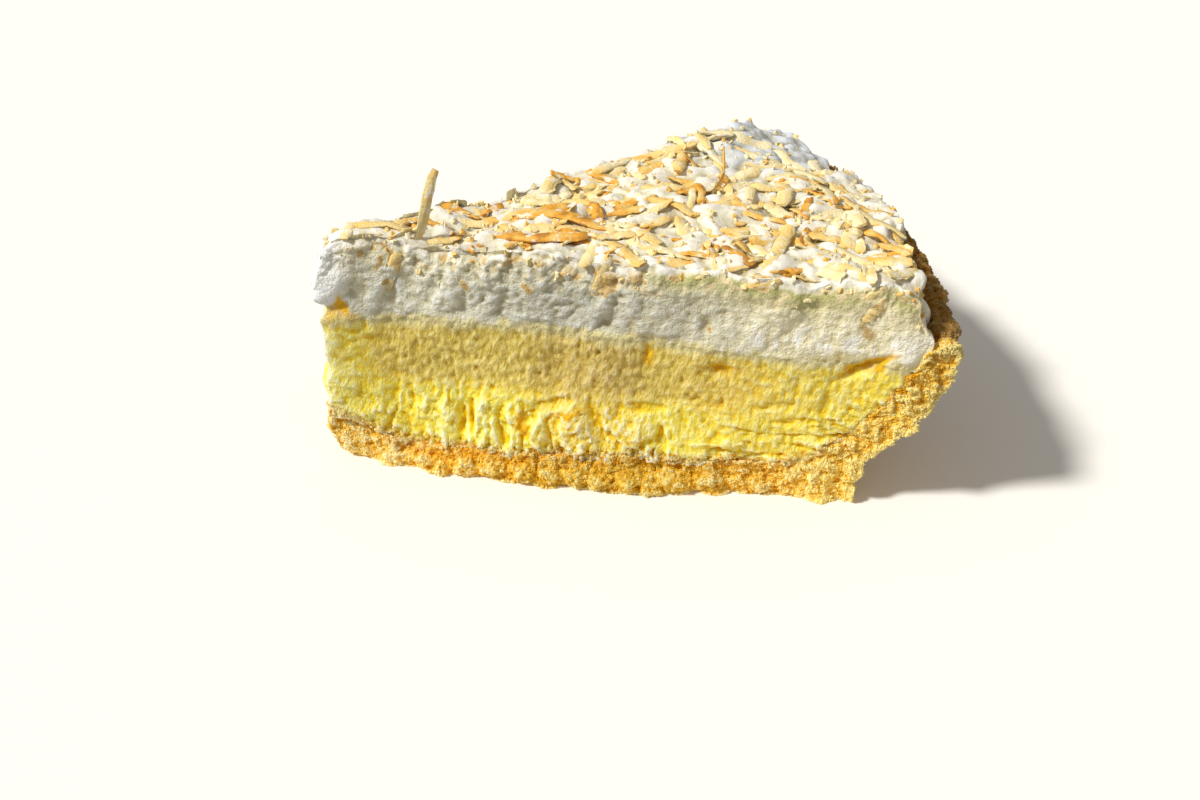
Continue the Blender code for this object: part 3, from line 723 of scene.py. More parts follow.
def beyond_cut(places):
    """How far each place lies outside the nearer knife cut; inside the slice it is below 0."""
    across = np.abs(places[..., 1]) * math.cos(HALF_ANGLE)
    return across - (places[..., 0] - TIP_X) * math.sin(HALF_ANGLE)


def near_cut(places, depth, fade):
    """1 at the cuts, and falling off to 0 at this depth inside the slice."""
    return onset(beyond_cut(places), -depth, fade)


def left_share(radius):
    """1 along the left of the cream's cut, where it is coarser, and 0 on the right."""
    return 1.0 - onset(radius, 0.045, 0.030)


def layer_points(counts):
    """A layer's outside: each point's station and level number, its share of the height, and
    its angle, and then the faces."""
    (i, j, k), faces = block_shell(counts)
    shares = np.linspace(0.0, 1.0, counts[1])
    angles = np.linspace(-HALF_ANGLE, HALF_ANGLE, counts[2])
    return i, j, shares[j], angles[k], faces


def crust_piece(finish):
    """The crust, with the crumbs of its solid and finer ones on every face that shows."""
    stations, levels, _ = CRUST_FINENESS
    outside, inside = crust_lines(stations)
    i, j, level, angle, faces = layer_points(CRUST_FINENESS)
    radius = outside[i, 0] * (1 - level) + inside[i, 0] * level
    under = outside[i, 1]
    over = crust_inside(in_pie(inside[i, 0], angle, 0.0))
    height = under * (1 - level) + over * level
    crest = np.where(i == stations - 1, CRUST_CREST * np.sin(math.pi * level), 0.0)
    points = in_pie(radius, angle, height + crest)
    bumps = crumbs(points, CRUMB_SIZE, seed=63) - CRUMBS_MEAN
    wall = smooth(height / 0.006) * onset(radius, 0.088, 0.008) * (1.0 - level**3)
    points = points + outward(angle) * (wall * WALL_RELIEF * bumps)[..., None]
    softened = 1.0 - (0.25 + 0.25 * onset(radius, 0.065, 0.015)) * smooth(height / 0.0030)
    uneven = softened * CRUMB_RELIEF * bumps + 0.0011 * lumps(points, 0.014, seed=12)
    points = push_cuts(points, angle, ledge(radius, height) + uneven)
    undercut = NOSE_UNDERCUT * (1.0 - smooth(height / NOSE_UNDERCUT_HEIGHT))
    points = push_tip(points, radius, CRUST_NOSE - undercut + 0.7 * CRUMB_RELIEF * bumps)
    points = settle(points, level, lambda _: under, crust_inside)
    points[:, 2] += crest
    topmost = j == levels - 1
    fine = grainy(points, CRUST_GRAINS)
    fine += 0.0003 * lumps(points, 0.0006, seed=15) + 0.5 * BORDER_OVERLAP * topmost
    hidden = topmost & (beyond_cut(points) < -0.0035) & (radius < CRUST_INSIDE_RADIUS - 0.001)
    points = points + point_normals(points, faces) * np.where(hidden, -OVERLAP, fine)[:, None]
    points[:, 2] = np.maximum(points[:, 2], 0.0)
    piece = solid_piece("crumb_crust_baked", points, faces, finish)
    places, normals = vertex_places(piece.data), vertex_normals(piece.data)
    radius = polar(places)[0]
    on_cut = near_cut(places, 0.0022, 0.0012)
    on_wall = onset(radius - outer_wall_radius(places[:, 2]), -0.0030, 0.0010)
    crested = smooth((places[:, 2] - RIM_HEIGHT + 0.0030) / 0.0015)
    crest_shows = 0.9 * crested * onset(radius, 0.100, 0.002)
    faces_down = onset(-normals[:, 2], 0.55, 0.3)
    # Brown high on the rim's crest and wall: real toasting, and painted shade where the cream
    # shades the rim.
    high = onset(places[:, 2], 0.0240, 0.0090) * onset(radius, 0.1015, 0.0020)
    store(piece, "cut", on_cut * (1.0 - faces_down))
    store(piece, "wall", np.maximum(on_wall, crest_shows) * (1.0 - on_cut) * (1.0 - faces_down))
    store(piece, "proud", proudness(piece, 12, 0.0007))
    walled = 0.45 * on_wall * (1.0 - on_cut)
    store(piece, "toasted", np.maximum(high * (1.0 - 0.75 * on_cut), walled))
    upper = onset(places[:, 2] - crust_inside(places), -0.0032, 0.0022)
    store(piece, "upper", upper * on_cut * (1.0 - onset(radius, 0.070, 0.015)))
    return piece


def custard_relief(points, radius, level, angle):
    """How far the custard's cut stands out: as its solid's, with finer chips, streaks and pits."""
    large, small = CRAG_SIZES
    crags = 0.6 * crumbs(points, large, seed=21) + 0.4 * np.abs(lumps(points, small, seed=24))
    uneven = level + 0.16 * lumps(points, 0.011, seed=26)
    share = TORN_LEAST + (1.0 - TORN_LEAST) * smooth(1.3 - uneven * 1.9)
    relief = CRAG_RELIEF * share * (crags - 0.30)
    relief = np.where(relief < 0.0, 0.30, 0.42) * relief + 0.0008 * lumps(points, 0.008, seed=22)
    relief += 0.0009 * nearness_to_tip(radius)
    relief += CUSTARD_FOOT * ledge_share(radius) * (1.0 - smooth(level * 1.7))
    relief -= hollowed(points, angle, CUSTARD_HOLLOWS)
    relief -= 0.5 * craggy(points, angle, CUSTARD_CRAGS)
    outer = onset(radius, 0.054, 0.014)
    upright, level_ones = torn(points, UPRIGHT_TEARS), torn(points, LEVEL_TEARS)
    tears = upright + outer * (level_ones - upright)
    relief += 0.0005 * (share - 0.8 * TORN_LEAST) * tears
    tall = crumbs(stretched(leaning(points, 0.22), 1.0, 0.6), 0.0010, seed=56)
    wide = crumbs(stretched(points, 0.5, 1.0), 0.0010, seed=60)
    grains = tall + 0.7 * outer * (wide - tall) - CRUMBS_MEAN
    relief += 0.00034 * grains + 0.00026 * lumps(stretched(points, 1.0, 0.6), 0.0007, seed=53)
    pits = onset(lumps(stretched(points, 1.0, 0.7), 0.0013, seed=54), 0.45, 0.35)
    return relief - 0.00022 * pits


def custard_nose(points, level):
    """How far the custard's tip stands out, with ragged lumps."""
    plain = CUSTARD_NOSE * (1.0 - 0.15 * level) + 0.0016 * lumps(points, 0.006, seed=23)
    return plain - 0.0010 * bell((level - 0.45) / 0.3) + 0.0009 * lumps(points, 0.0024, seed=25)


def jostled(places):
    """The places moved about by a millimetre, so that outlines drawn on them come out uneven."""
    moves = [0.0010 * lumps(places, 0.0014, seed=number) for number in (81, 82, 83)]
    return places + np.stack(moves, axis=-1)


def in_slits(places):
    """How much of a golden slit lies at each place: 0 beside it, 1 in the middle."""
    return hollowed(jostled(places), np.sign(places[:, 1]), GOLDEN_SLITS)


def custard_piece(finish):
    """The custard: fine and streaked above, torn into columns and strata below."""
    stations, levels, angles = CUSTARD_FINENESS
    radii = crust_lines(stations)[1][:, 0]
    places = in_pie(radii[:, None], np.array([-HALF_ANGLE, HALF_ANGLE]), 0.0)
    room = custard_top(places) - crust_inside(places)
    radii = radii[room.min(axis=1) > CUSTARD_THIN_END]
    i, _, level, angle, faces = layer_points((len(radii), levels, angles))
    radius = radii[i]
    points = settle(in_pie(radius, angle, 0.0), level, crust_inside, custard_top)
    relief = custard_relief(points, radius, level, angle)
    over_crust = points[:, 2] - crust_inside(points)
    relief -= 0.0004 * (1.0 - smooth(over_crust / 0.0025)) * onset(radius, 0.060, 0.015)
    points = push_cuts(points, angle, relief)
    forward = custard_nose(points, level) - tip_groove(points[:, 2]) + 0.3 * relief
    points = push_tip(points, radius, forward)
    points = settle(points, level, custard_floor, custard_top)
    piece = solid_piece("torn_custard", points, faces, finish)
    piece.data.set_sharp_from_angle(angle=math.radians(JOIN_ANGLE))
    places = vertex_places(piece.data)
    height = smooth(1.3 - (places[:, 2] - 0.006) / (CUSTARD_TOP - 0.006) * 1.9)
    store(piece, "torn", height)
    store(piece, "head", 1.0 - smooth((custard_top(places) - places[:, 2]) / 0.0034))
    store(piece, "proud", proudness(piece, 8, 0.00035))
    store(piece, "raised", proudness(piece, 60, 0.0013))
    store(piece, "slit", in_slits(places))
    above_crust = places[:, 2] - crust_inside(places) + 0.0008 * lumps(places, 0.0022, seed=57)
    at_cut = near_cut(places, 0.0030, 0.0010)
    store(piece, "border", at_cut * (1.0 - onset(above_crust, 0.0003, 0.0010)))
    store(piece, "upper", at_cut)
    return piece


def cream_relief(points, radius, level, angle):
    """How far the cream's cut stands out: dragged on the left, and knobbly at its brim."""
    relief = layered_lumps(points, DENTS, seed=31) - 0.0012 * level**6
    relief += 0.0012 * nearness_to_tip(radius)
    relief -= hollowed(points, angle, CREAM_HOLLOWS)
    coarse = left_share(radius)
    dragged = lumps(stretched(leaning(points, 0.40), 1.0, 0.18), 0.0021, seed=61)
    relief = 0.45 * relief + (0.00016 + 0.00030 * coarse) * dragged
    high = 1.0 - onset(cream_top(points) - points[..., 2], 0.0030, 0.0045)
    relief += high * (0.45 + 0.55 * coarse) * grainy(points, BRIM_GRAINS)
    relief += 0.00016 * lumps(points, 0.0008, seed=71)
    relief += 0.00012 * smooth(hollowed(jostled(points), angle, FLUSH_BITS) * 2.2 - 0.35)
    relief += 0.0011 * bell((radius - 0.0015) / 0.0030) * bell((points[..., 2] - 0.0400) / 0.0032)
    relief += 0.0006 * bell((radius - 0.0985) / 0.0022) * bell((points[..., 2] - 0.0318) / 0.0024)
    relief -= level**8 * (0.0008 + 0.0009 * lumps(flat(points), 0.0034, seed=69))
    joined = smooth(level / 0.18)
    return relief * joined + custard_relief(points, radius, 1.0, angle) * (1.0 - joined)


def heaps(points):
    """How far the cream's top stands up in small soft heaps."""
    height = layered_lumps(points, CREAM_HEAPS, seed=72)
    return height + 0.0011 * (0.35 - np.abs(lumps(points, 0.0036, seed=66)))


def far_share(radius, angle):
    """1 at the far corner of the top, with painted shade on the cream and pale, sparse coconut."""
    return onset(radius, 0.066, 0.020) * onset(angle, 0.06, 0.14)


def cream_piece(finish):
    """The whipped cream: dented and streaked at its cuts, in small peaks on top."""
    stations, levels, _ = CREAM_FINENESS
    i, j, level, angle, faces = layer_points(CREAM_FINENESS)
    radius = crust_lines(stations)[1][i, 0]
    points = settle(in_pie(radius, angle, 0.0), level, cream_underside, cream_top)
    joined = smooth(level / 0.18)
    relief = cream_relief(points, radius, level, angle)
    points = push_cuts(points, angle, relief)
    forward = CREAM_NOSE * (1.0 - 0.42 * level**3) + 0.0015 * lumps(points, 0.006, seed=34)
    forward = forward * joined + custard_nose(points, 1.0) * (1.0 - joined)
    points = push_tip(points, radius, forward - tip_groove(points[:, 2]))
    points = settle(points, level, cream_underside, cream_top)
    points = points - outward(angle) * set_back(points, radius, angle)[..., None]
    full = smooth((points[:, 2] - CREAM_BULGE_FOOT) / CREAM_BULGE_RISE)
    swell = front_to_back(CREAM_BULGE, angle) * full * (1.0 - 0.6 * level**6)
    points = points + outward(angle) * (swell * (i == stations - 1))[:, None]
    above = (j == levels - 1) | (i == stations - 1)
    rough = 0.35 + 0.35 * left_share(radius)
    fine = rough * layered_lumps(points, CREAM_GRAIN, seed=62) * joined
    fine = np.where(above, heaps(points), fine)
    points = points + point_normals(points, faces) * fine[:, None]
    piece = solid_piece("whipped_cream_spread", points, faces, finish)
    piece.data.set_sharp_from_angle(angle=math.radians(JOIN_ANGLE))
    places, normals = vertex_places(piece.data), vertex_normals(piece.data)
    radius, angle = polar(places)
    below = cream_top(places) - places[:, 2]
    at_rim = onset(radius, 0.1002, 0.0012)
    sides = np.maximum(near_cut(places, 0.0030, 0.0012), at_rim)
    upright = sides * onset(below, 0.0004, 0.0010)
    store(piece, "proud", proudness(piece, 8, 0.0004))
    store(piece, "upright", upright)
    store(piece, "slit", in_slits(places))
    # painted shade on the cream's far corner
    store(piece, "far", far_share(radius, angle))
    store(piece, "nose", 1.0 - onset(places[:, 0], -0.0530, 0.0045))
    foot = 0.0026 + 0.0030 * bell((radius - 0.0925) / 0.0045) + 0.0016 * bell(radius / 0.0040)
    store(piece, "foot", 1.0 - smooth((places[:, 2] - cream_underside(places)) / foot))
    store(piece, "bit", hollowed(jostled(places), np.sign(places[:, 1]), FLUSH_BITS))
    low = 1.0 - onset(places[:, 2], 0.0350, 0.0040)
    store(piece, "rim end", onset(radius, 0.0955, 0.0025) * low)
    store(piece, "ragged", (1.0 - onset(below, 0.0020, 0.0050)) * upright)
    brim = (1.0 - smooth(below / 0.0058)) * onset(radius, 0.050, 0.012)
    store(piece, "brim", brim * upright)
    band = onset(radius, 0.068, 0.008) * (1.0 - onset(radius, 0.098, 0.004))
    store(piece, "flecked", band * bell((places[:, 2] - 0.0338) / 0.0022) * (places[:, 1] < 0.0))
    on_top = onset(normals[:, 2], 0.3, 0.3) * onset(places[:, 2], 0.036, 0.002)
    reach = 0.0030 + 0.0035 * left_share(radius)
    near_top = 0.8 * (1.0 - smooth((below - 0.0010) / reach)) * near_cut(places, 0.003, 0.001)
    bare = onset(radius, 0.085, 0.010) * onset(angle, 0.14, 0.10)
    store(piece, "strewn", np.maximum(on_top * (1.0 - 0.8 * bare), near_top))
    return piece


def roomiest_places(draw, taken, count, candidates):
    """Where shreds lie: each takes the roomiest of several random places, so they spread evenly."""
    places = []
    spots = [(radius * math.cos(angle), radius * math.sin(angle)) for radius, angle in taken]
    for _ in range(count):
        shares = draw.uniform(0.0, 1.0, (candidates, 2))
        radii = SHRED_RADII[0] + (SHRED_RADII[1] - SHRED_RADII[0]) * np.sqrt(shares[:, 0])
        inset = np.clip(SHRED_INSET / radii, 0.0, HALF_ANGLE * 0.8)
        angles = (shares[:, 1] * 2 - 1) * (HALF_ANGLE - inset)
        options = np.stack([radii * np.cos(angles), radii * np.sin(angles)], axis=1)
        room = np.linalg.norm(options[:, None] - np.array(spots)[None], axis=2).min(axis=1)
        room[(radii > BARE_CORNER[0]) & (angles > math.radians(BARE_CORNER[1]))] = 0.0
        best = int(room.argmax())
        spots.append(tuple(options[best]))
        places.append((float(radii[best]), float(angles[best])))
    return places


def shred_line(place, rise, turn, length, bend, drape):
    """The middle line of a shred at a place on the cream, turned by heading, lean and roll."""
    x, y, _ = spot = in_pie(*place, 0.0)
    surface = float(cream_top(spot))
    heading, lean, roll = turn
    share = np.linspace(0.0, 1.0, SHRED_POINTS)
    aside = bend * length * (np.sin(math.pi * share) - 0.64)
    matrix = (
        Matrix.Translation((float(x), float(y), surface + rise))
        @ Matrix.Rotation(heading, 4, "Z")
        @ Matrix.Rotation(-lean, 4, "Y")
        @ Matrix.Rotation(roll, 4, "X")
    )
    line = np.array(
        [matrix @ Vector(((s - 0.5) * length, a, 0.0)) for s, a in zip(share, aside)]
    )
    line[:, 2] += drape * (cream_top(line) - surface)
    below = line.copy()
    below[:, 2] = cream_top(line)
    line[:, 2] += drape * HEAP_SHARE * heaps(below)
    return line


def line_in_cut(radius, height, slant, length):
    """The middle line of a bit set in the front cut of the cream."""
    share = np.linspace(-0.5, 0.5, SHRED_POINTS) * length
    along = radius + share * math.cos(math.radians(slant))
    angle = np.full(SHRED_POINTS, -HALF_ANGLE)
    line = in_pie(along, angle, height + share * math.sin(math.radians(slant)))
    floor = cream_underside(line)
    level = np.clip((line[:, 2] - floor) / (cream_top(line) - floor), 0.0, 1.0)
    relief = cream_relief(line, along, level, angle)
    return line + cut_normal(angle) * (0.5 * relief + 0.5 * relief.mean() + BIT_PROUD)[:, None]


def all_shreds():
    """Every shred: its line, width, roll, twist and how toasted it is."""
    draw = np.random.default_rng(41)  # the same draws, in the same order, as the solids'
    paint = np.random.default_rng(42)
    shreds = []
    taken = []

    def lay(place, rise, turn, length, toast, width, drape):
        bend = draw.uniform(-0.10, 0.10)
        twist = draw.uniform(-0.9, 0.9)
        radius, angle = place
        if angle < -0.99 * HALF_ANGLE:
            height = float(cream_top(in_pie(radius, angle, 0.0))) + rise
            line = line_in_cut(radius, height, math.degrees(turn[1]), length)
            shreds.append((line, width, math.pi / 2, 0.0, toast))
            return
        line = shred_line(place, rise, turn, length, bend, drape)
        line[:, 2] -= (SHRED_SINK + 0.5 * SHRED_THICKNESS * width) * drape
        upright = math.pi / 2 if abs(turn[1]) > STANDING else 0.0
        if upright:
            twist *= 0.2
        toast = toast * (1.0 - PALER_FAR * far_share(*place))
        shreds.append((line, width, turn[2] + upright, twist, toast))

    laid_flat = [
        (radius, degrees, SHRED_RISE, heading, 0, length, toast)
        for radius, degrees, heading, length, toast in FLAT_SHREDS
    ]
    for radius, degrees, rise, heading, lean, length, toast in [*NOTABLE_SHREDS, *laid_flat]:
        place = (radius, math.radians(degrees))
        taken.append(place)
        turn = (math.radians(heading), math.radians(lean), 0.0)
        width = SHRED_WIDTH * (1.15 if length > LONG_SHRED and lean < 45 else 0.92)
        if rise > 0.002 and radius > 0.05:
            width, length = 0.6 * width, 0.8 * length
        lay(place, rise, turn, length, toast, width, DRAPE if abs(lean) < 10 else 0.0)
    lengths = np.sort(draw.uniform(*SHRED_LENGTHS, SHRED_COUNT))[::-1]
    for place, length in zip(roomiest_places(draw, taken, SHRED_COUNT, SHRED_CANDIDATES), lengths):
        turn = (draw.uniform(0.0, math.pi), draw.normal(0.0, 0.09), draw.uniform(-0.4, 0.4))
        taken.append(place)
        width = paint.uniform(*SHRED_WIDTHS)
        lay(place, SHRED_RISE, turn, SHRED_SHORTENED * length, toastiness(paint), width, DRAPE)
    for place in roomiest_places(draw, taken, FINE_SHRED_COUNT, 4):
        turn = (draw.uniform(0.0, math.pi), draw.normal(0.0, 0.12), draw.uniform(-0.7, 0.7))
        length = draw.uniform(*FINE_SHRED_LENGTHS)
        width = draw.uniform(*FINE_SHRED_WIDTHS)
        if paint.uniform() < 0.6 * far_share(*place):
            continue
        lay(place, draw.uniform(0.0, 0.0009), turn, length, toastiness(paint), width, DRAPE)
    for radius, height, slant, length, width, toast in BITS_IN_CUT:
        line = line_in_cut(radius, height, slant, length)
        shreds.append((line, width, math.pi / 2, 0.0, toast))
    return shreds


def toastiness(paint):
    """From 0, pale, to 1, dark brown: most shreds are pale gold, and a few are orange-brown."""
    kind = paint.uniform()
    if kind < 0.25:
        return paint.uniform(0.10, 0.30)
    if kind < 0.80:
        return paint.uniform(0.30, 0.58)
    return paint.uniform(0.60, 0.90)


class Nodes:
    """A node tree, with one way to add any node."""

    def __init__(self, tree):
        self.tree = tree

    def add(self, kind, settings=None, sockets=None):
        """A node of this kind, its settings set first, then its sockets' values or links."""
        node = self.tree.nodes.new(kind)
        for name, value in (settings or {}).items():
            if name == "stops":
                fill_ramp(node.color_ramp, value)
            else:
                setattr(node, name, value)
        for name, value in (sockets or {}).items():
            socket = node.inputs[name]
            if isinstance(value, Amount):
                value = value.socket
            if isinstance(value, bpy.types.NodeSocket):
                self.tree.links.new(value, socket)
            else:
                socket.default_value = value
        return node


def fill_ramp(ramp, stops):
    """Sets a ramp's stops, each a place and a colour."""
    while len(ramp.elements) < len(stops):
        ramp.elements.new(0.5)
    for element, (place, colour) in zip(ramp.elements, stops):
        element.position = place
        element.color = (*colour, 1.0)


class Amount:
    """A number on a material's socket, so that sums of such numbers read as sums."""

    def __init__(self, nodes, socket):
        self.nodes = nodes
        self.socket = socket

    def _math(self, operation, *values, clamp=False):
        node = self.nodes.add(
            "ShaderNodeMath",
            {"operation": operation, "use_clamp": clamp},
            dict(enumerate(values)),
        )
        return Amount(self.nodes, node.outputs[0])

    def __add__(self, other):
        return self._math("ADD", self, other)

    def __sub__(self, other):
        return self._math("SUBTRACT", self, other)

    def __mul__(self, other):
        return self._math("MULTIPLY", self, other)

    def __radd__(self, other):
        return self._math("ADD", other, self)

    def __rsub__(self, other):
        return self._math("SUBTRACT", other, self)

    def __rmul__(self, other):
        return self._math("MULTIPLY", other, self)

    def clamped(self):
        return self._math("ADD", self, 0.0, clamp=True)

    def rise(self, start, end):
        """0 below start, 1 above end, and smooth between."""
        node = self.nodes.add(
            "ShaderNodeMapRange",
            {"interpolation_type": "SMOOTHSTEP"},
            {"Value": self, "From Min": start, "From Max": end},
        )
        return Amount(self.nodes, node.outputs["Result"])

    def between(self, on, off):
        """1 between two slopes, each given by its start and end, and 0 beyond them."""
        return self.rise(*on) * (1.0 - self.rise(*off))


class Finish(Nodes):
    """One surface's material."""

    def __init__(self, name, roughness, plain=None):
        self.material = bpy.data.materials.new(name)
        self.material.use_nodes = True
        super().__init__(self.material.node_tree)
        self.shader = self.tree.nodes["Principled BSDF"]
        self.shader.inputs["Roughness"].default_value = roughness
        for socket, value in (plain or {}).items():
            self.shader.inputs[socket].default_value = value
        self.place = self.add("ShaderNodeTexCoord").outputs["Object"]

    def lean(self, degrees):
        """Tilts what the noises on this finish are drawn along, from upright to the right."""
        turned = self.add(
            "ShaderNodeVectorRotate",
            {"rotation_type": "Y_AXIS"},
            {"Vector": self.place, "Angle": -math.radians(degrees)},
        )
        self.place = turned.outputs["Vector"]

    def kept(self, name):
        """A number that the mesh keeps for each vertex."""
        node = self.add("ShaderNodeAttribute", {"attribute_name": name})
        return Amount(self, node.outputs["Fac"])

    def axis(self, name):
        node = self.add("ShaderNodeSeparateXYZ", sockets={"Vector": self.place})
        return Amount(self, node.outputs[name])

    def noise(self, scale, detail=2.0, squeeze=(1.0, 1.0, 1.0)):
        """Noise from 0 to 1, with scale in lumps to the metre."""
        place = self.add(
            "ShaderNodeMapping", sockets={"Vector": self.place, "Scale": squeeze}
        ).outputs["Vector"]
        node = self.add(
            "ShaderNodeTexNoise", sockets={"Vector": place, "Scale": scale, "Detail": detail}
        )
        return Amount(self, node.outputs["Fac"])

    def ramp(self, amount, stops):
        node = self.add("ShaderNodeValToRGB", {"stops": stops}, {"Fac": amount})
        return node.outputs["Color"]

    def mix(self, share, first, second, blend="MIX"):
        """A colour that goes from first to second as share goes from 0 to 1."""
        node = self.tree.nodes.new("ShaderNodeMix")
        node.data_type = "RGBA"
        node.blend_type = blend
        if isinstance(share, Amount):
            self.tree.links.new(share.socket, node.inputs["Factor"])
        else:
            node.inputs["Factor"].default_value = share
        for name, colour in (("A", first), ("B", second)):
            socket = [s for s in node.inputs if s.name == name and s.type == "RGBA"][0]
            if isinstance(colour, bpy.types.NodeSocket):
                self.tree.links.new(colour, socket)
            else:
                socket.default_value = (*colour, 1.0)
        return [s for s in node.outputs if s.type == "RGBA"][0]

    def tint(self, share, colour, by):
        """The colour, multiplied by another where share is 1."""
        return self.mix(share, colour, self.mix(1.0, colour, by, "MULTIPLY"))

    def marked(self, colour, near):
        """The colour with the knife's marks: smears where custard and cream meet, and slits painted
        deep gold as their shade.
        """
        tongues = self.noise(520.0, 3.0, (1.0, 1.0, 0.20)) + 0.7 * self.noise(120.0, 1.0) - 1.10
        colour = self.mix((self.kept(near) * 1.6 + 2.6 * tongues).clamped(), colour, JOIN_COLOUR)
        return self.mix(self.kept("slit").rise(0.15, 0.65), colour, SLIT_COLOUR)

    def colour(self, socket):
        self.tree.links.new(socket, self.shader.inputs["Base Color"])

    def bump(self, height, distance, strength=1.0):
        """Fine relief: height from 0 to 1 stands for this distance."""
        node = self.add(
            "ShaderNodeBump",
            sockets={"Height": height, "Distance": distance, "Strength": strength},
        )
        self.tree.links.new(node.outputs["Normal"], self.shader.inputs["Normal"])


def crust_finish():
    """Golden baked crumbs: deep gold between them and pale on their tips as painted shade and
    highlights, browned by toasting and painted shade at the rim.
    """
    finish = Finish(
        "packed_crumb",
        0.9,
        {"Specular IOR Level": 0.08, "Subsurface Weight": 0.35, "Subsurface Scale": 0.0010,
         "Subsurface Radius": (1.0, 0.90, 0.70)},
    )
    along = finish.axis("X")
    high = finish.kept("proud") + 0.20 * finish.kept("tone")
    high = high + 0.40 * (finish.noise(1100.0, 3.0) - 0.5)
    # Lighter towards the right end and the left end of the cut: painted light.
    high = high + 0.5 * (finish.noise(190.0, 2.0) - 0.5) + 0.16 * along.rise(0.010, 0.026)
    high = high + 0.12 * (1.0 - along.rise(-0.046, -0.034))
    # Deep gold where crumbs sink and pale where they stand out: painted shade and painted
    # highlights.
    golden = finish.ramp(
        high.clamped(),
        (
            (0.12, (0.70, 0.31, 0.006)),
            (0.36, (0.90, 0.47, 0.028)),
            (0.60, (0.98, 0.64, 0.12)),
            (0.86, (1.00, 0.85, 0.42)),
        ),
    )
    golden = finish.tint(along.between(*CRUST_MIDDLE), golden, (0.84, 0.86, 0.76))
    # Warmer towards the right end: painted warm light.
    golden = finish.tint(along.rise(0.014, 0.032), golden, (1.02, 0.97, 0.70))
    golden = finish.tint(0.75 * finish.kept("upper"), golden, (0.90, 0.73, 0.51))
    # Browned at the rim and on the wall by toasting, and at the rim by painted shade.
    toasted = finish.kept("toasted") * (0.75 + 0.5 * finish.noise(240.0, 3.0))
    finish.colour(finish.tint(toasted.clamped(), golden, (0.32, 0.245, 0.26)))
    finish.bump(finish.noise(1900.0, 4.0), 0.0004, 0.8)
    return finish.material


def custard_finish():
    """Set custard: dull pale yellow where the knife passed, bright and golden where it tore, with
    painted shade and highlights.
    """
    finish = Finish(
        "pale_custard",
        0.65,
        {"Specular IOR Level": 0.3, "Subsurface Weight": 0.6, "Subsurface Scale": 0.0026,
         "Subsurface Radius": (1.0, 0.90, 0.55)},
    )
    along = finish.axis("X")
    # Warmer at both ends of the front cut and on the back cut: painted warm light.
    warm = along.rise(0.0, 0.012) + 0.5 * (1.0 - along.rise(-0.046, -0.036))
    warm = (warm + finish.axis("Y").rise(0.001, 0.005)).clamped()
    finish.lean(12)
    grains = finish.noise(1500.0, 3.0, (1.0, 1.0, 0.50))
    patches = finish.noise(260.0, 2.0)
    # Deeper gold where the custard sinks and paler where it stands out: painted shade and painted
    # highlights.
    high = 0.45 * finish.kept("proud") + 0.35 * finish.kept("raised") + 0.10
    high = (high + 0.75 * (grains - 0.5) + 0.35 * (patches - 0.5)).clamped()
    above = finish.ramp(
        high,
        (
            (0.22, (0.60, 0.43, 0.045)),
            (0.50, (0.78, 0.62, 0.155)),
            (0.80, (0.94, 0.82, 0.37)),
        ),
    )
    below = finish.ramp(
        high,
        (
            (0.20, (1.00, 0.66, 0.006)),
            (0.40, (1.00, 0.79, 0.070)),
            (0.60, (1.00, 0.88, 0.28)),
            (0.82, (1.00, 0.94, 0.60)),
        ),
    )
    lit = along.rise(0.000, 0.028) + (1.0 - along.rise(-0.050, -0.042))
    above = finish.mix((0.95 * lit).clamped(), above, below)
    torn = (finish.kept("torn") + 0.5 * (finish.noise(220.0, 3.0) - 0.5)).rise(0.10, 0.50)
    custard = finish.mix(torn, above, below)
    custard = finish.tint(along.between(*CUSTARD_MIDDLE), custard, (0.90, 0.86, 0.97))
    # painted warm light at the ends and on the back cut
    custard = finish.tint(warm, custard, (1.0, 0.94, 0.86))
    finish.colour(finish.marked(custard, "head"))
    finish.bump(0.7 * grains + 0.3 * finish.noise(2700.0, 2.0, (1.0, 1.0, 0.6)), 0.0008)
    return finish.material


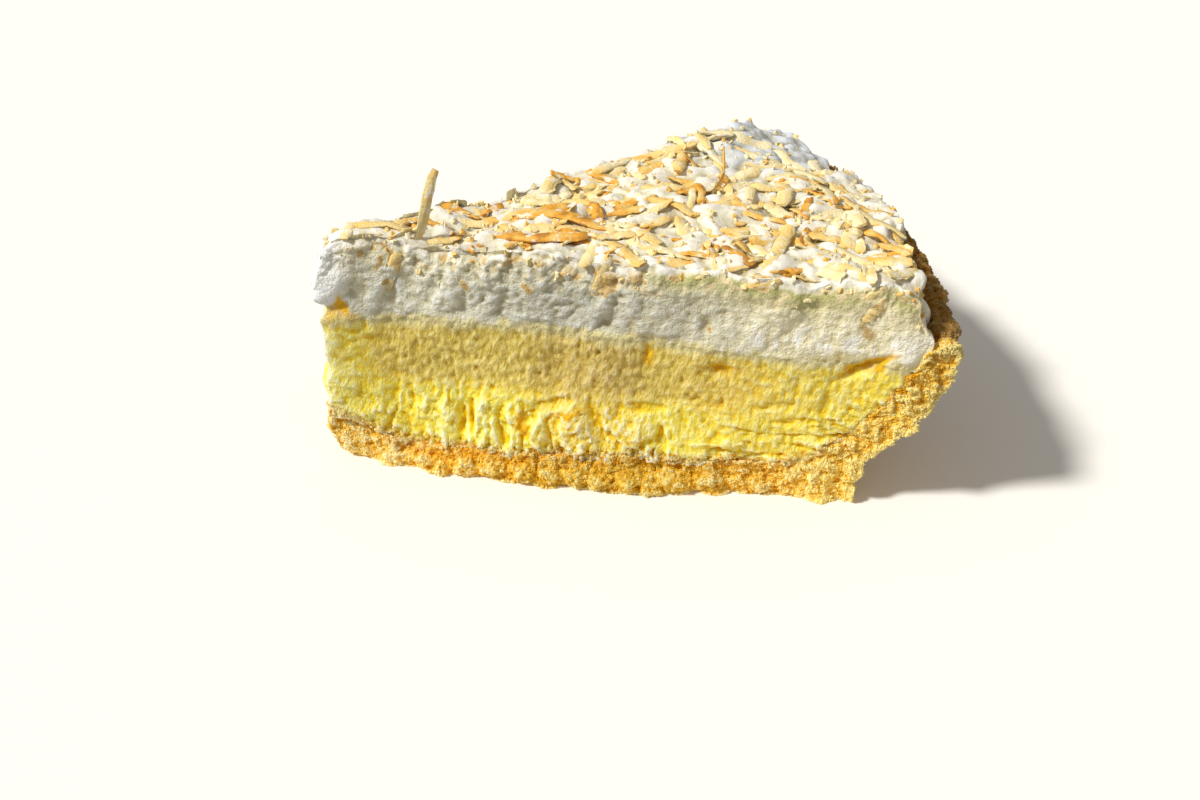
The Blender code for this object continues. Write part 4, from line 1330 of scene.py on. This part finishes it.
def cream_finish():
    """Whipped cream: white and soft above; greyer and yellower at the cuts, painted warm bounce
    light.
    """
    finish = Finish(
        "whipped_cream",
        0.6,
        {"Specular IOR Level": 0.35, "Subsurface Weight": 0.25, "Subsurface Scale": 0.002,
         "Subsurface Radius": (1.0, 0.9, 0.7)},
    )
    along = finish.axis("X") + 0.02 * (finish.noise(60.0) - 0.5)
    grains = finish.noise(1300.0, 3.0)
    # Darker where the cream sinks and lighter where it stands out: painted shade and painted
    # highlights.
    high = finish.kept("proud") + 0.45 * (grains - 0.5)
    high = (high + 0.25 * (finish.noise(420.0, 2.0) - 0.5)).clamped()
    above = finish.ramp(
        high,
        (
            (0.15, (0.46, 0.39, 0.21)),
            (0.42, (0.69, 0.65, 0.50)),
            (0.70, (0.86, 0.83, 0.75)),
        ),
    )
    cut = finish.ramp(
        high,
        (
            (0.10, (0.64, 0.54, 0.30)),
            (0.45, (0.82, 0.77, 0.54)),
            (0.78, (0.94, 0.91, 0.76)),
        ),
    )
    # Bluer towards the left and lighter towards the right of the cut: painted sky-lit shade and
    # painted light.
    cut = finish.tint(1.0 - along.rise(-0.010, 0.020), cut, (0.86, 0.90, 1.00))
    cut = finish.tint(along.rise(0.010, 0.035), cut, (1.05, 1.04, 1.0))
    cut = finish.tint(along.between(*CREAM_MIDDLE), cut, (0.85, 0.85, 0.86))
    olive = (finish.kept("ragged") * (0.5 + 1.6 * (finish.noise(420.0, 3.0) - 0.5))).clamped()
    cut = finish.tint(0.6 * olive, cut, (0.92, 0.80, 0.48))
    tinted = (finish.kept("brim") * (1.05 + 1.2 * (finish.noise(170.0, 2.0) - 0.3))).clamped()
    cut = finish.mix(tinted, cut, (0.47, 0.45, 0.18))
    flecks = (finish.noise(400.0, 2.0, (1.0, 1.0, 0.6)) - 0.53).rise(0.0, 0.07)
    cut = finish.mix(finish.kept("flecked") * flecks, cut, (1.00, 0.98, 0.90))
    cut = finish.mix(0.7 * finish.kept("rim end"), cut, (0.93, 0.90, 0.80))
    strewn = finish.kept("ragged") * (finish.noise(380.0, 2.0) - 0.52).rise(0.0, 0.10)
    bits = finish.kept("bit") * (1.0 + 0.5 * (finish.noise(520.0, 2.0) - 0.5))
    bits = bits.rise(0.30, 0.46) * (0.55 + 0.45 * bits) + 0.5 * strewn
    flush = finish.ramp(
        bits.clamped(),
        ((0.30, (0.76, 0.66, 0.42)), (0.62, (0.68, 0.53, 0.27)), (0.95, (0.50, 0.33, 0.11))),
    )
    cut = finish.mix((bits * 2.4).clamped(), cut, flush)
    # Cooler and darker at the far corner of the top: painted shade.
    above = finish.tint(finish.kept("far"), above, (0.74, 0.81, 0.98))
    # The cuts' greyer, yellower palette stands for painted warm bounce light.
    cream = finish.mix(finish.kept("upright"), above, cut)
    # Lighter and bluish white on the nose of the tip: painted light.
    cream = finish.mix(0.85 * finish.kept("nose"), cream, (0.97, 1.00, 1.00))
    finish.colour(finish.marked(cream, "foot"))
    grained = 0.6 * grains + 0.4 * finish.noise(2700.0, 2.0)
    finish.bump(grained * (0.45 + 0.55 * finish.kept("upright")), 0.00055)
    return finish.material


def coconut_finish():
    """Toasted coconut, from pale cream to orange-brown, with fibres along each shred."""
    finish = Finish("toasted_coconut", 0.7, {"Specular IOR Level": 0.25})
    along, around, toast = (finish.kept(name) for name in ("along", "round", "toast"))
    grain = finish.add(
        "ShaderNodeCombineXYZ", sockets={"X": 130.0 * along, "Y": 1.3 * around, "Z": toast * 90.0}
    )
    fibres = Amount(
        finish,
        finish.add(
            "ShaderNodeTexNoise", sockets={"Vector": grain.outputs[0], "Scale": 1.0, "Detail": 3.0}
        ).outputs["Fac"],
    )
    blotch = finish.noise(330.0, 3.0) - 0.5
    toast = toast + 1.10 * blotch + 0.45 * (fibres - 0.5) + 0.15 * finish.kept("end")
    shreds = finish.ramp(
        toast.clamped(),
        (
            (0.05, (0.86, 0.78, 0.52)),
            (0.36, (0.82, 0.66, 0.32)),
            (0.62, (0.82, 0.56, 0.18)),
            (0.84, (0.80, 0.39, 0.045)),
            (1.00, (0.47, 0.22, 0.04)),
        ),
    )
    dabs = (finish.noise(520.0, 3.0) - 0.58).rise(0.0, 0.07) * along.rise(0.0, 0.0004)
    finish.colour(finish.mix(0.8 * dabs, shreds, (0.85, 0.82, 0.73)))
    finish.bump(0.5 * fibres + 0.5 * finish.noise(1800.0, 3.0), 0.00040)
    return finish.material


def geometry_tree(name, inputs):
    """A Geometry Nodes tree with these named inputs, and what its modifiers need to set them."""
    tree = bpy.data.node_groups.new(name, "GeometryNodeTree")
    tree.interface.new_socket(name="Geometry", in_out="INPUT", socket_type="NodeSocketGeometry")
    keys = {}
    for title, kind, value in inputs:
        socket = tree.interface.new_socket(name=title, in_out="INPUT", socket_type=kind)
        if value is not None:
            socket.default_value = value
        keys[title] = socket.identifier
    tree.interface.new_socket(name="Geometry", in_out="OUTPUT", socket_type="NodeSocketGeometry")
    return tree, keys


def use_tree(piece, tree, keys, values):
    """Puts the tree on the piece with these inputs, and gives the piece the mesh it makes."""
    modifier = piece.modifiers.new(tree.name, "NODES")
    modifier.node_group = tree
    for title, value in values.items():
        modifier[keys[title]] = value
    apply_modifiers(piece)


def shred_tree():
    """Sweeps a flat section with rounded corners along each shred's line."""
    tree, keys = geometry_tree(
        "coconut shreds",
        (
            ("Thickness share", "NodeSocketFloat", SHRED_THICKNESS),
            ("Corner", "NodeSocketFloat", 0.3),
            ("Finish", "NodeSocketMaterial", None),
        ),
    )
    nodes = Nodes(tree)
    given = nodes.add("NodeGroupInput").outputs
    half_width, tilt = (
        nodes.add(
            "GeometryNodeInputNamedAttribute", {"data_type": "FLOAT"}, {"Name": name}
        ).outputs["Attribute"]
        for name in ("half width", "tilt")
    )
    line = nodes.add("GeometryNodeMeshToCurve", sockets={"Mesh": given["Geometry"]})
    upright = nodes.add(
        "GeometryNodeSetCurveNormal", {"mode": "Z_UP"}, {"Curve": line.outputs["Curve"]}
    )
    sized = nodes.add(
        "GeometryNodeSetCurveRadius",
        sockets={"Curve": upright.outputs["Curve"], "Radius": half_width},
    )
    tilted = nodes.add(
        "GeometryNodeSetCurveTilt", sockets={"Curve": sized.outputs["Curve"], "Tilt": tilt}
    )
    thickness = nodes.add(
        "ShaderNodeMath", {"operation": "MULTIPLY"}, {0: given["Thickness share"], 1: 2.0}
    )
    oblong = nodes.add(
        "GeometryNodeCurvePrimitiveQuadrilateral",
        {"mode": "RECTANGLE"},
        {"Width": 2.0, "Height": thickness.outputs[0]},
    )
    section = nodes.add(
        "GeometryNodeFilletCurve",
        {"mode": "POLY"},
        {
            "Curve": oblong.outputs["Curve"],
            "Count": 1,
            "Radius": given["Corner"],
            "Limit Radius": True,
        },
    )
    numbered = nodes.add(
        "GeometryNodeStoreNamedAttribute",
        {"data_type": "FLOAT", "domain": "POINT"},
        {
            "Geometry": section.outputs["Curve"],
            "Name": "round",
            "Value": nodes.add("GeometryNodeInputIndex").outputs["Index"],
        },
    )
    swept = nodes.add(
        "GeometryNodeCurveToMesh",
        sockets={
            "Curve": tilted.outputs["Curve"],
            "Profile Curve": numbered.outputs["Geometry"],
            "Fill Caps": True,
        },
    )
    if "Scale" in swept.inputs:
        tree.links.new(half_width, swept.inputs["Scale"])
    end_with_finish(nodes, swept.outputs["Mesh"], given["Finish"])
    return tree, keys


def end_with_finish(nodes, geometry, finish):
    """Ends a tree: what it made becomes real mesh, with its material."""
    real = nodes.add("GeometryNodeRealizeInstances", sockets={"Geometry": geometry})
    painted = nodes.add(
        "GeometryNodeSetMaterial",
        sockets={"Geometry": real.outputs["Geometry"], "Material": finish},
    )
    nodes.add("NodeGroupOutput", sockets={"Geometry": painted.outputs["Geometry"]})


def coconut_piece(finish):
    """All the shreds as one mesh, swept along their lines."""
    points, edges = [], []
    kept = {"half width": [], "tilt": [], "toast": [], "end": [], "along": []}
    share = np.linspace(0.0, 1.0, SHRED_POINTS)
    swell = 0.62 + 0.38 * (1.0 - np.abs(2.0 * share - 1.0) ** 7)
    uneven = np.random.default_rng(43)
    for line, width, roll, twist, toast in all_shreds():
        start = len(points)
        length = np.linalg.norm(line[-1] - line[0])
        outline = swell
        if length > STANDING_FOOT[0] and line[-1, 2] - line[0, 2] > 0.5 * length:
            outline = np.interp(share, (0.0, 0.2, 0.9, 1.0), (1.35, 1.05, 0.90, 0.60))
            line[:, 0] -= STANDING_FOOT[1] * (1.0 - smooth(share / 0.45))
        points.extend((line + uneven.normal(0.0, 0.00007, line.shape)).tolist())
        edges.extend((start + n, start + n + 1) for n in range(SHRED_POINTS - 1))
        kept["half width"].extend(outline * uneven.uniform(0.84, 1.12, SHRED_POINTS) * width / 2)
        kept["tilt"].extend(roll + twist * (share - 0.5))
        kept["toast"].extend(np.full(SHRED_POINTS, toast))
        kept["end"].extend(np.abs(share * 2 - 1) ** 3)
        kept["along"].extend(share * length + start)
    mesh = bpy.data.meshes.new("coconut_shreds")
    mesh.from_pydata(points, edges, [])
    piece = new_object("coconut_shreds", mesh)
    for name, values in kept.items():
        store(piece, name, values)
    tree, keys = shred_tree()
    use_tree(piece, tree, keys, {"Finish": finish})
    places, normals = vertex_places(piece.data), vertex_normals(piece.data)
    places += normals * layered_lumps(places, SHRED_GRAIN, seed=44)[:, None]
    piece.data.vertices.foreach_set("co", places.ravel())
    piece.data.shade_smooth()
    return piece


def scatter_tree():
    """Strews grains of several kinds over a surface, as thickly as one of its numbers says."""
    tree, keys = geometry_tree(
        "strewn grains",
        (
            ("Per square metre", "NodeSocketFloat", 1.0),
            ("Smallest", "NodeSocketFloat", 0.0005),
            ("Largest", "NodeSocketFloat", 0.0010),
            ("Lift", "NodeSocketFloat", 0.0),
            ("Least tone", "NodeSocketFloat", 0.0),
            ("Most tone", "NodeSocketFloat", 1.0),
            ("Seed", "NodeSocketInt", 0),
            ("Where name", "NodeSocketString", "strewn"),
            ("Tone name", "NodeSocketString", "tone"),
            ("Kinds", "NodeSocketCollection", None),
            ("Finish", "NodeSocketMaterial", None),
        ),
    )
    nodes = Nodes(tree)
    given = nodes.add("NodeGroupInput").outputs
    strewn = nodes.add(
        "GeometryNodeInputNamedAttribute", {"data_type": "FLOAT"}, {"Name": given["Where name"]}
    )
    density = nodes.add(
        "ShaderNodeMath",
        {"operation": "MULTIPLY"},
        {0: given["Per square metre"], 1: strewn.outputs["Attribute"]},
    )
    spots = nodes.add(
        "GeometryNodeDistributePointsOnFaces",
        {"distribute_method": "RANDOM"},
        {"Mesh": given["Geometry"], "Density": density.outputs[0], "Seed": given["Seed"]},
    )
    lift = nodes.add(
        "ShaderNodeVectorMath",
        {"operation": "SCALE"},
        {0: spots.outputs["Normal"], "Scale": given["Lift"]},
    )
    lifted = nodes.add(
        "GeometryNodeSetPosition",
        sockets={"Geometry": spots.outputs["Points"], "Offset": lift.outputs["Vector"]},
    )
    turn = nodes.add(
        "FunctionNodeRandomValue",
        {"data_type": "FLOAT_VECTOR"},
        {0: (0.0,) * 3, 1: (2 * math.pi,) * 3},
    )
    size, tone = (
        nodes.add(
            "FunctionNodeRandomValue", {"data_type": "FLOAT"}, {2: least, 3: most, "Seed": number}
        ).outputs[1]
        for number, (least, most) in enumerate(
            ((given["Smallest"], given["Largest"]), (given["Least tone"], given["Most tone"])), 1
        )
    )
    kinds = nodes.add(
        "GeometryNodeCollectionInfo",
        sockets={"Collection": given["Kinds"], "Separate Children": True, "Reset Children": True},
    )
    grains = nodes.add(
        "GeometryNodeInstanceOnPoints",
        sockets={
            "Points": lifted.outputs["Geometry"],
            "Instance": kinds.outputs["Instances"],
            "Pick Instance": True,
            "Rotation": nodes.add(
                "FunctionNodeEulerToRotation", sockets={"Euler": turn.outputs[0]}
            ).outputs["Rotation"],
            "Scale": size,
        },
    )
    toned = nodes.add(
        "GeometryNodeStoreNamedAttribute",
        {"data_type": "FLOAT", "domain": "INSTANCE"},
        {"Geometry": grains.outputs["Instances"], "Name": given["Tone name"], "Value": tone},
    )
    end_with_finish(nodes, toned.outputs["Geometry"], given["Finish"])
    return tree, keys


def grain_kinds(name, sides, rings, stretch, seed):
    """A collection of uneven grains, each about 1 across, drawn out or flattened by stretch."""
    draw = np.random.default_rng(seed)
    kinds = bpy.data.collections.new(name)
    for number in range(GRAIN_KINDS):
        shell = bmesh.new()
        bmesh.ops.create_uvsphere(shell, u_segments=sides, v_segments=rings, radius=0.5)
        uneven = draw.uniform(0.75, 1.2, 3) * np.array(stretch)
        for vertex in shell.verts:
            vertex.co = Vector(np.array(vertex.co) * uneven * draw.uniform(0.70, 1.25))
        mesh = bpy.data.meshes.new(name)
        shell.to_mesh(mesh)
        shell.free()
        kinds.objects.link(bpy.data.objects.new(f"{name}_{number}", mesh))
    return kinds


def strew(name, surface, scatter, kinds, finish, **values):
    """A new piece: grains strewn over another piece's surface."""
    piece = new_object(name, surface.data.copy())
    tree, keys = scatter
    titles = {"density": "Per square metre", "least": "Smallest", "most": "Largest",
              "lift": "Lift", "seed": "Seed", "tone": "Tone name", "where": "Where name",
              "palest": "Least tone", "darkest": "Most tone"}
    inputs = {titles[key]: value for key, value in values.items()}
    use_tree(piece, tree, keys, {**inputs, "Kinds": kinds, "Finish": finish})
    mesh = piece.data
    places = vertex_places(mesh)
    places[:, 2] = np.maximum(places[:, 2], 0.0)
    mesh.vertices.foreach_set("co", places.ravel())
    mesh.shade_flat()
    return piece


def look_from(place, forward, roll):
    """A camera's matrix: it looks along forward, with its head turned by roll."""
    across = Vector((forward.y, -forward.x, 0.0)).normalized()
    upward = across.cross(forward)
    right = math.cos(roll) * across + math.sin(roll) * upward
    up = math.cos(roll) * upward - math.sin(roll) * across
    turn = Matrix((right, up, -forward)).transposed().to_4x4()
    return Matrix.Translation(place) @ turn


def add_camera():
    """The camera at the photograph's place."""
    yaw, pitch, roll = (math.radians(degrees) for degrees in CAMERA_TURN)
    level = Vector((math.sin(yaw), math.cos(yaw), 0.0)) * math.cos(pitch)
    forward = level - Vector((0.0, 0.0, math.sin(pitch)))
    data = bpy.data.cameras.new("camera")
    data.lens = CAMERA_LENS
    data.sensor_width = 36.0
    data.clip_start = 0.01
    camera = new_object("camera", data)
    camera.matrix_world = look_from(Vector(CAMERA_PLACE), forward, roll)
    bpy.context.scene.camera = camera


def add_lights():
    """A soft key from the left and an even pale sky."""
    scene = bpy.context.scene
    scene.view_settings.view_transform = "Standard"
    world = bpy.data.worlds.new("pale studio")
    world.use_nodes = True
    background = world.node_tree.nodes["Background"]
    background.inputs["Color"].default_value = (*DAYLIGHT, 1.0)
    background.inputs["Strength"].default_value = SKY_STRENGTH
    scene.world = world
    data = bpy.data.lights.new("key", "SUN")
    data.energy = SUN_STRENGTH
    data.angle = math.radians(SUN_WIDTH)
    data.color = DAYLIGHT
    key = new_object("key", data)
    key.rotation_mode = "QUATERNION"
    key.rotation_quaternion = Vector(SUN_DIRECTION).to_track_quat("-Z", "Y")


def plain_material(name, colour, roughness):
    """A material of one colour."""
    material = bpy.data.materials.new(name)
    material.use_nodes = True
    shader = material.node_tree.nodes["Principled BSDF"]
    shader.inputs["Base Color"].default_value = (*colour, 1.0)
    shader.inputs["Roughness"].default_value = roughness
    return material


def add_ground_light():
    """Sunlit cream-coloured ground close to the slice, unseen itself, that lights its foot."""
    rim = [(RIM_RADIUS, angle) for angle in np.linspace(-HALF_ANGLE, HALF_ANGLE, 9)]
    outline = np.array([in_pie(radius, angle, GROUND_LIFT) for radius, angle in [(0.0, 0.0), *rim]])
    away = outline * (1.0, 1.0, 0.0)
    reach = np.full(len(outline), GROUND_REACH[0])
    reach[1] = GROUND_REACH[1]
    outline = outline + (reach / np.linalg.norm(away, axis=1))[:, None] * away
    mesh = bpy.data.meshes.new("sunlit_ground")
    mesh.from_pydata(outline.tolist(), [], [range(len(outline))])
    mesh.materials.append(plain_material("sunlit_ground", GROUND_COLOUR, 1.0))
    ground = new_object("sunlit_ground", mesh)
    ground.visible_camera = False
    ground.visible_glossy = False
    ground.visible_shadow = False


def add_floor():
    """A plain pale floor, which throws no light back up at the slice."""
    mesh = bpy.data.meshes.new("floor")
    corners = ((-1, -1), (1, -1), (1, 1), (-1, 1))
    mesh.from_pydata([(x * FLOOR_REACH, y * FLOOR_REACH, 0) for x, y in corners], [], [range(4)])
    mesh.materials.append(plain_material("pale_floor", FLOOR_COLOUR, 0.9))
    floor = new_object("floor", mesh)
    floor.visible_diffuse = False
    floor.visible_shadow = False


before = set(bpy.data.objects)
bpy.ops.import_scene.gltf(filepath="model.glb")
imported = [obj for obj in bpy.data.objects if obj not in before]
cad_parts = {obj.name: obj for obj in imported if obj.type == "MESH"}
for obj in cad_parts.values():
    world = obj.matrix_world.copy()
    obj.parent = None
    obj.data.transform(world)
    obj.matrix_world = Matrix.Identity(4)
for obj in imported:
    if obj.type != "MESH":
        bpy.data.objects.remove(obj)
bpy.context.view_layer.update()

packed_crumb = crust_finish()
crust = crust_piece(packed_crumb)
custard = custard_piece(custard_finish())
cream = cream_piece(cream_finish())
toasted_coconut = coconut_finish()
coconut = coconut_piece(toasted_coconut)

scatter = scatter_tree()
grain = grain_kinds("grain", 4, 2, (1.0, 1.0, 1.0), 71)
flake = grain_kinds("flake", 5, 3, (1.4, 0.9, 0.5), 73)
crust_crumbs = [
    strew(
        name, surface, scatter, grain, packed_crumb, where=where, density=density,
        least=least, most=most, lift=-0.00005, seed=seed, palest=-1.0, darkest=1.0,
    )
    for name, surface, where, density, least, most, seed in (
        ("crumbs_on_cuts", crust, "cut", 5.6e6, 0.00035, 0.0009, 1),
        ("crumbs_on_wall", crust, "wall", 4.2e6, 0.00035, 0.0009, 2),
        ("crumbs_on_custard", custard, "border", 3.6e6, 0.0003, 0.0008, 4),
    )
]
coconut_crumbs = strew(
    "coconut_crumbs", cream, scatter, flake, toasted_coconut, density=0.14e6,
    least=0.0006, most=0.0018, lift=0.0, seed=3, tone="toast", palest=-0.1, darkest=0.7,
)

for piece, node, slot in (
    (crust, "crumb_crust", "crumb_crust"),
    *((piece, None, "crumb_crust") for piece in crust_crumbs),
    (custard, "custard_filling", "custard_filling"),
    (cream, "coconut_cream", "whipped_cream"),
    (coconut, None, "toasted_coconut"),
    (coconut_crumbs, None, "toasted_coconut"),
):
    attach(piece, "root")
    if node:
        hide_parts(node)

add_floor()
add_ground_light()
add_lights()
add_camera()
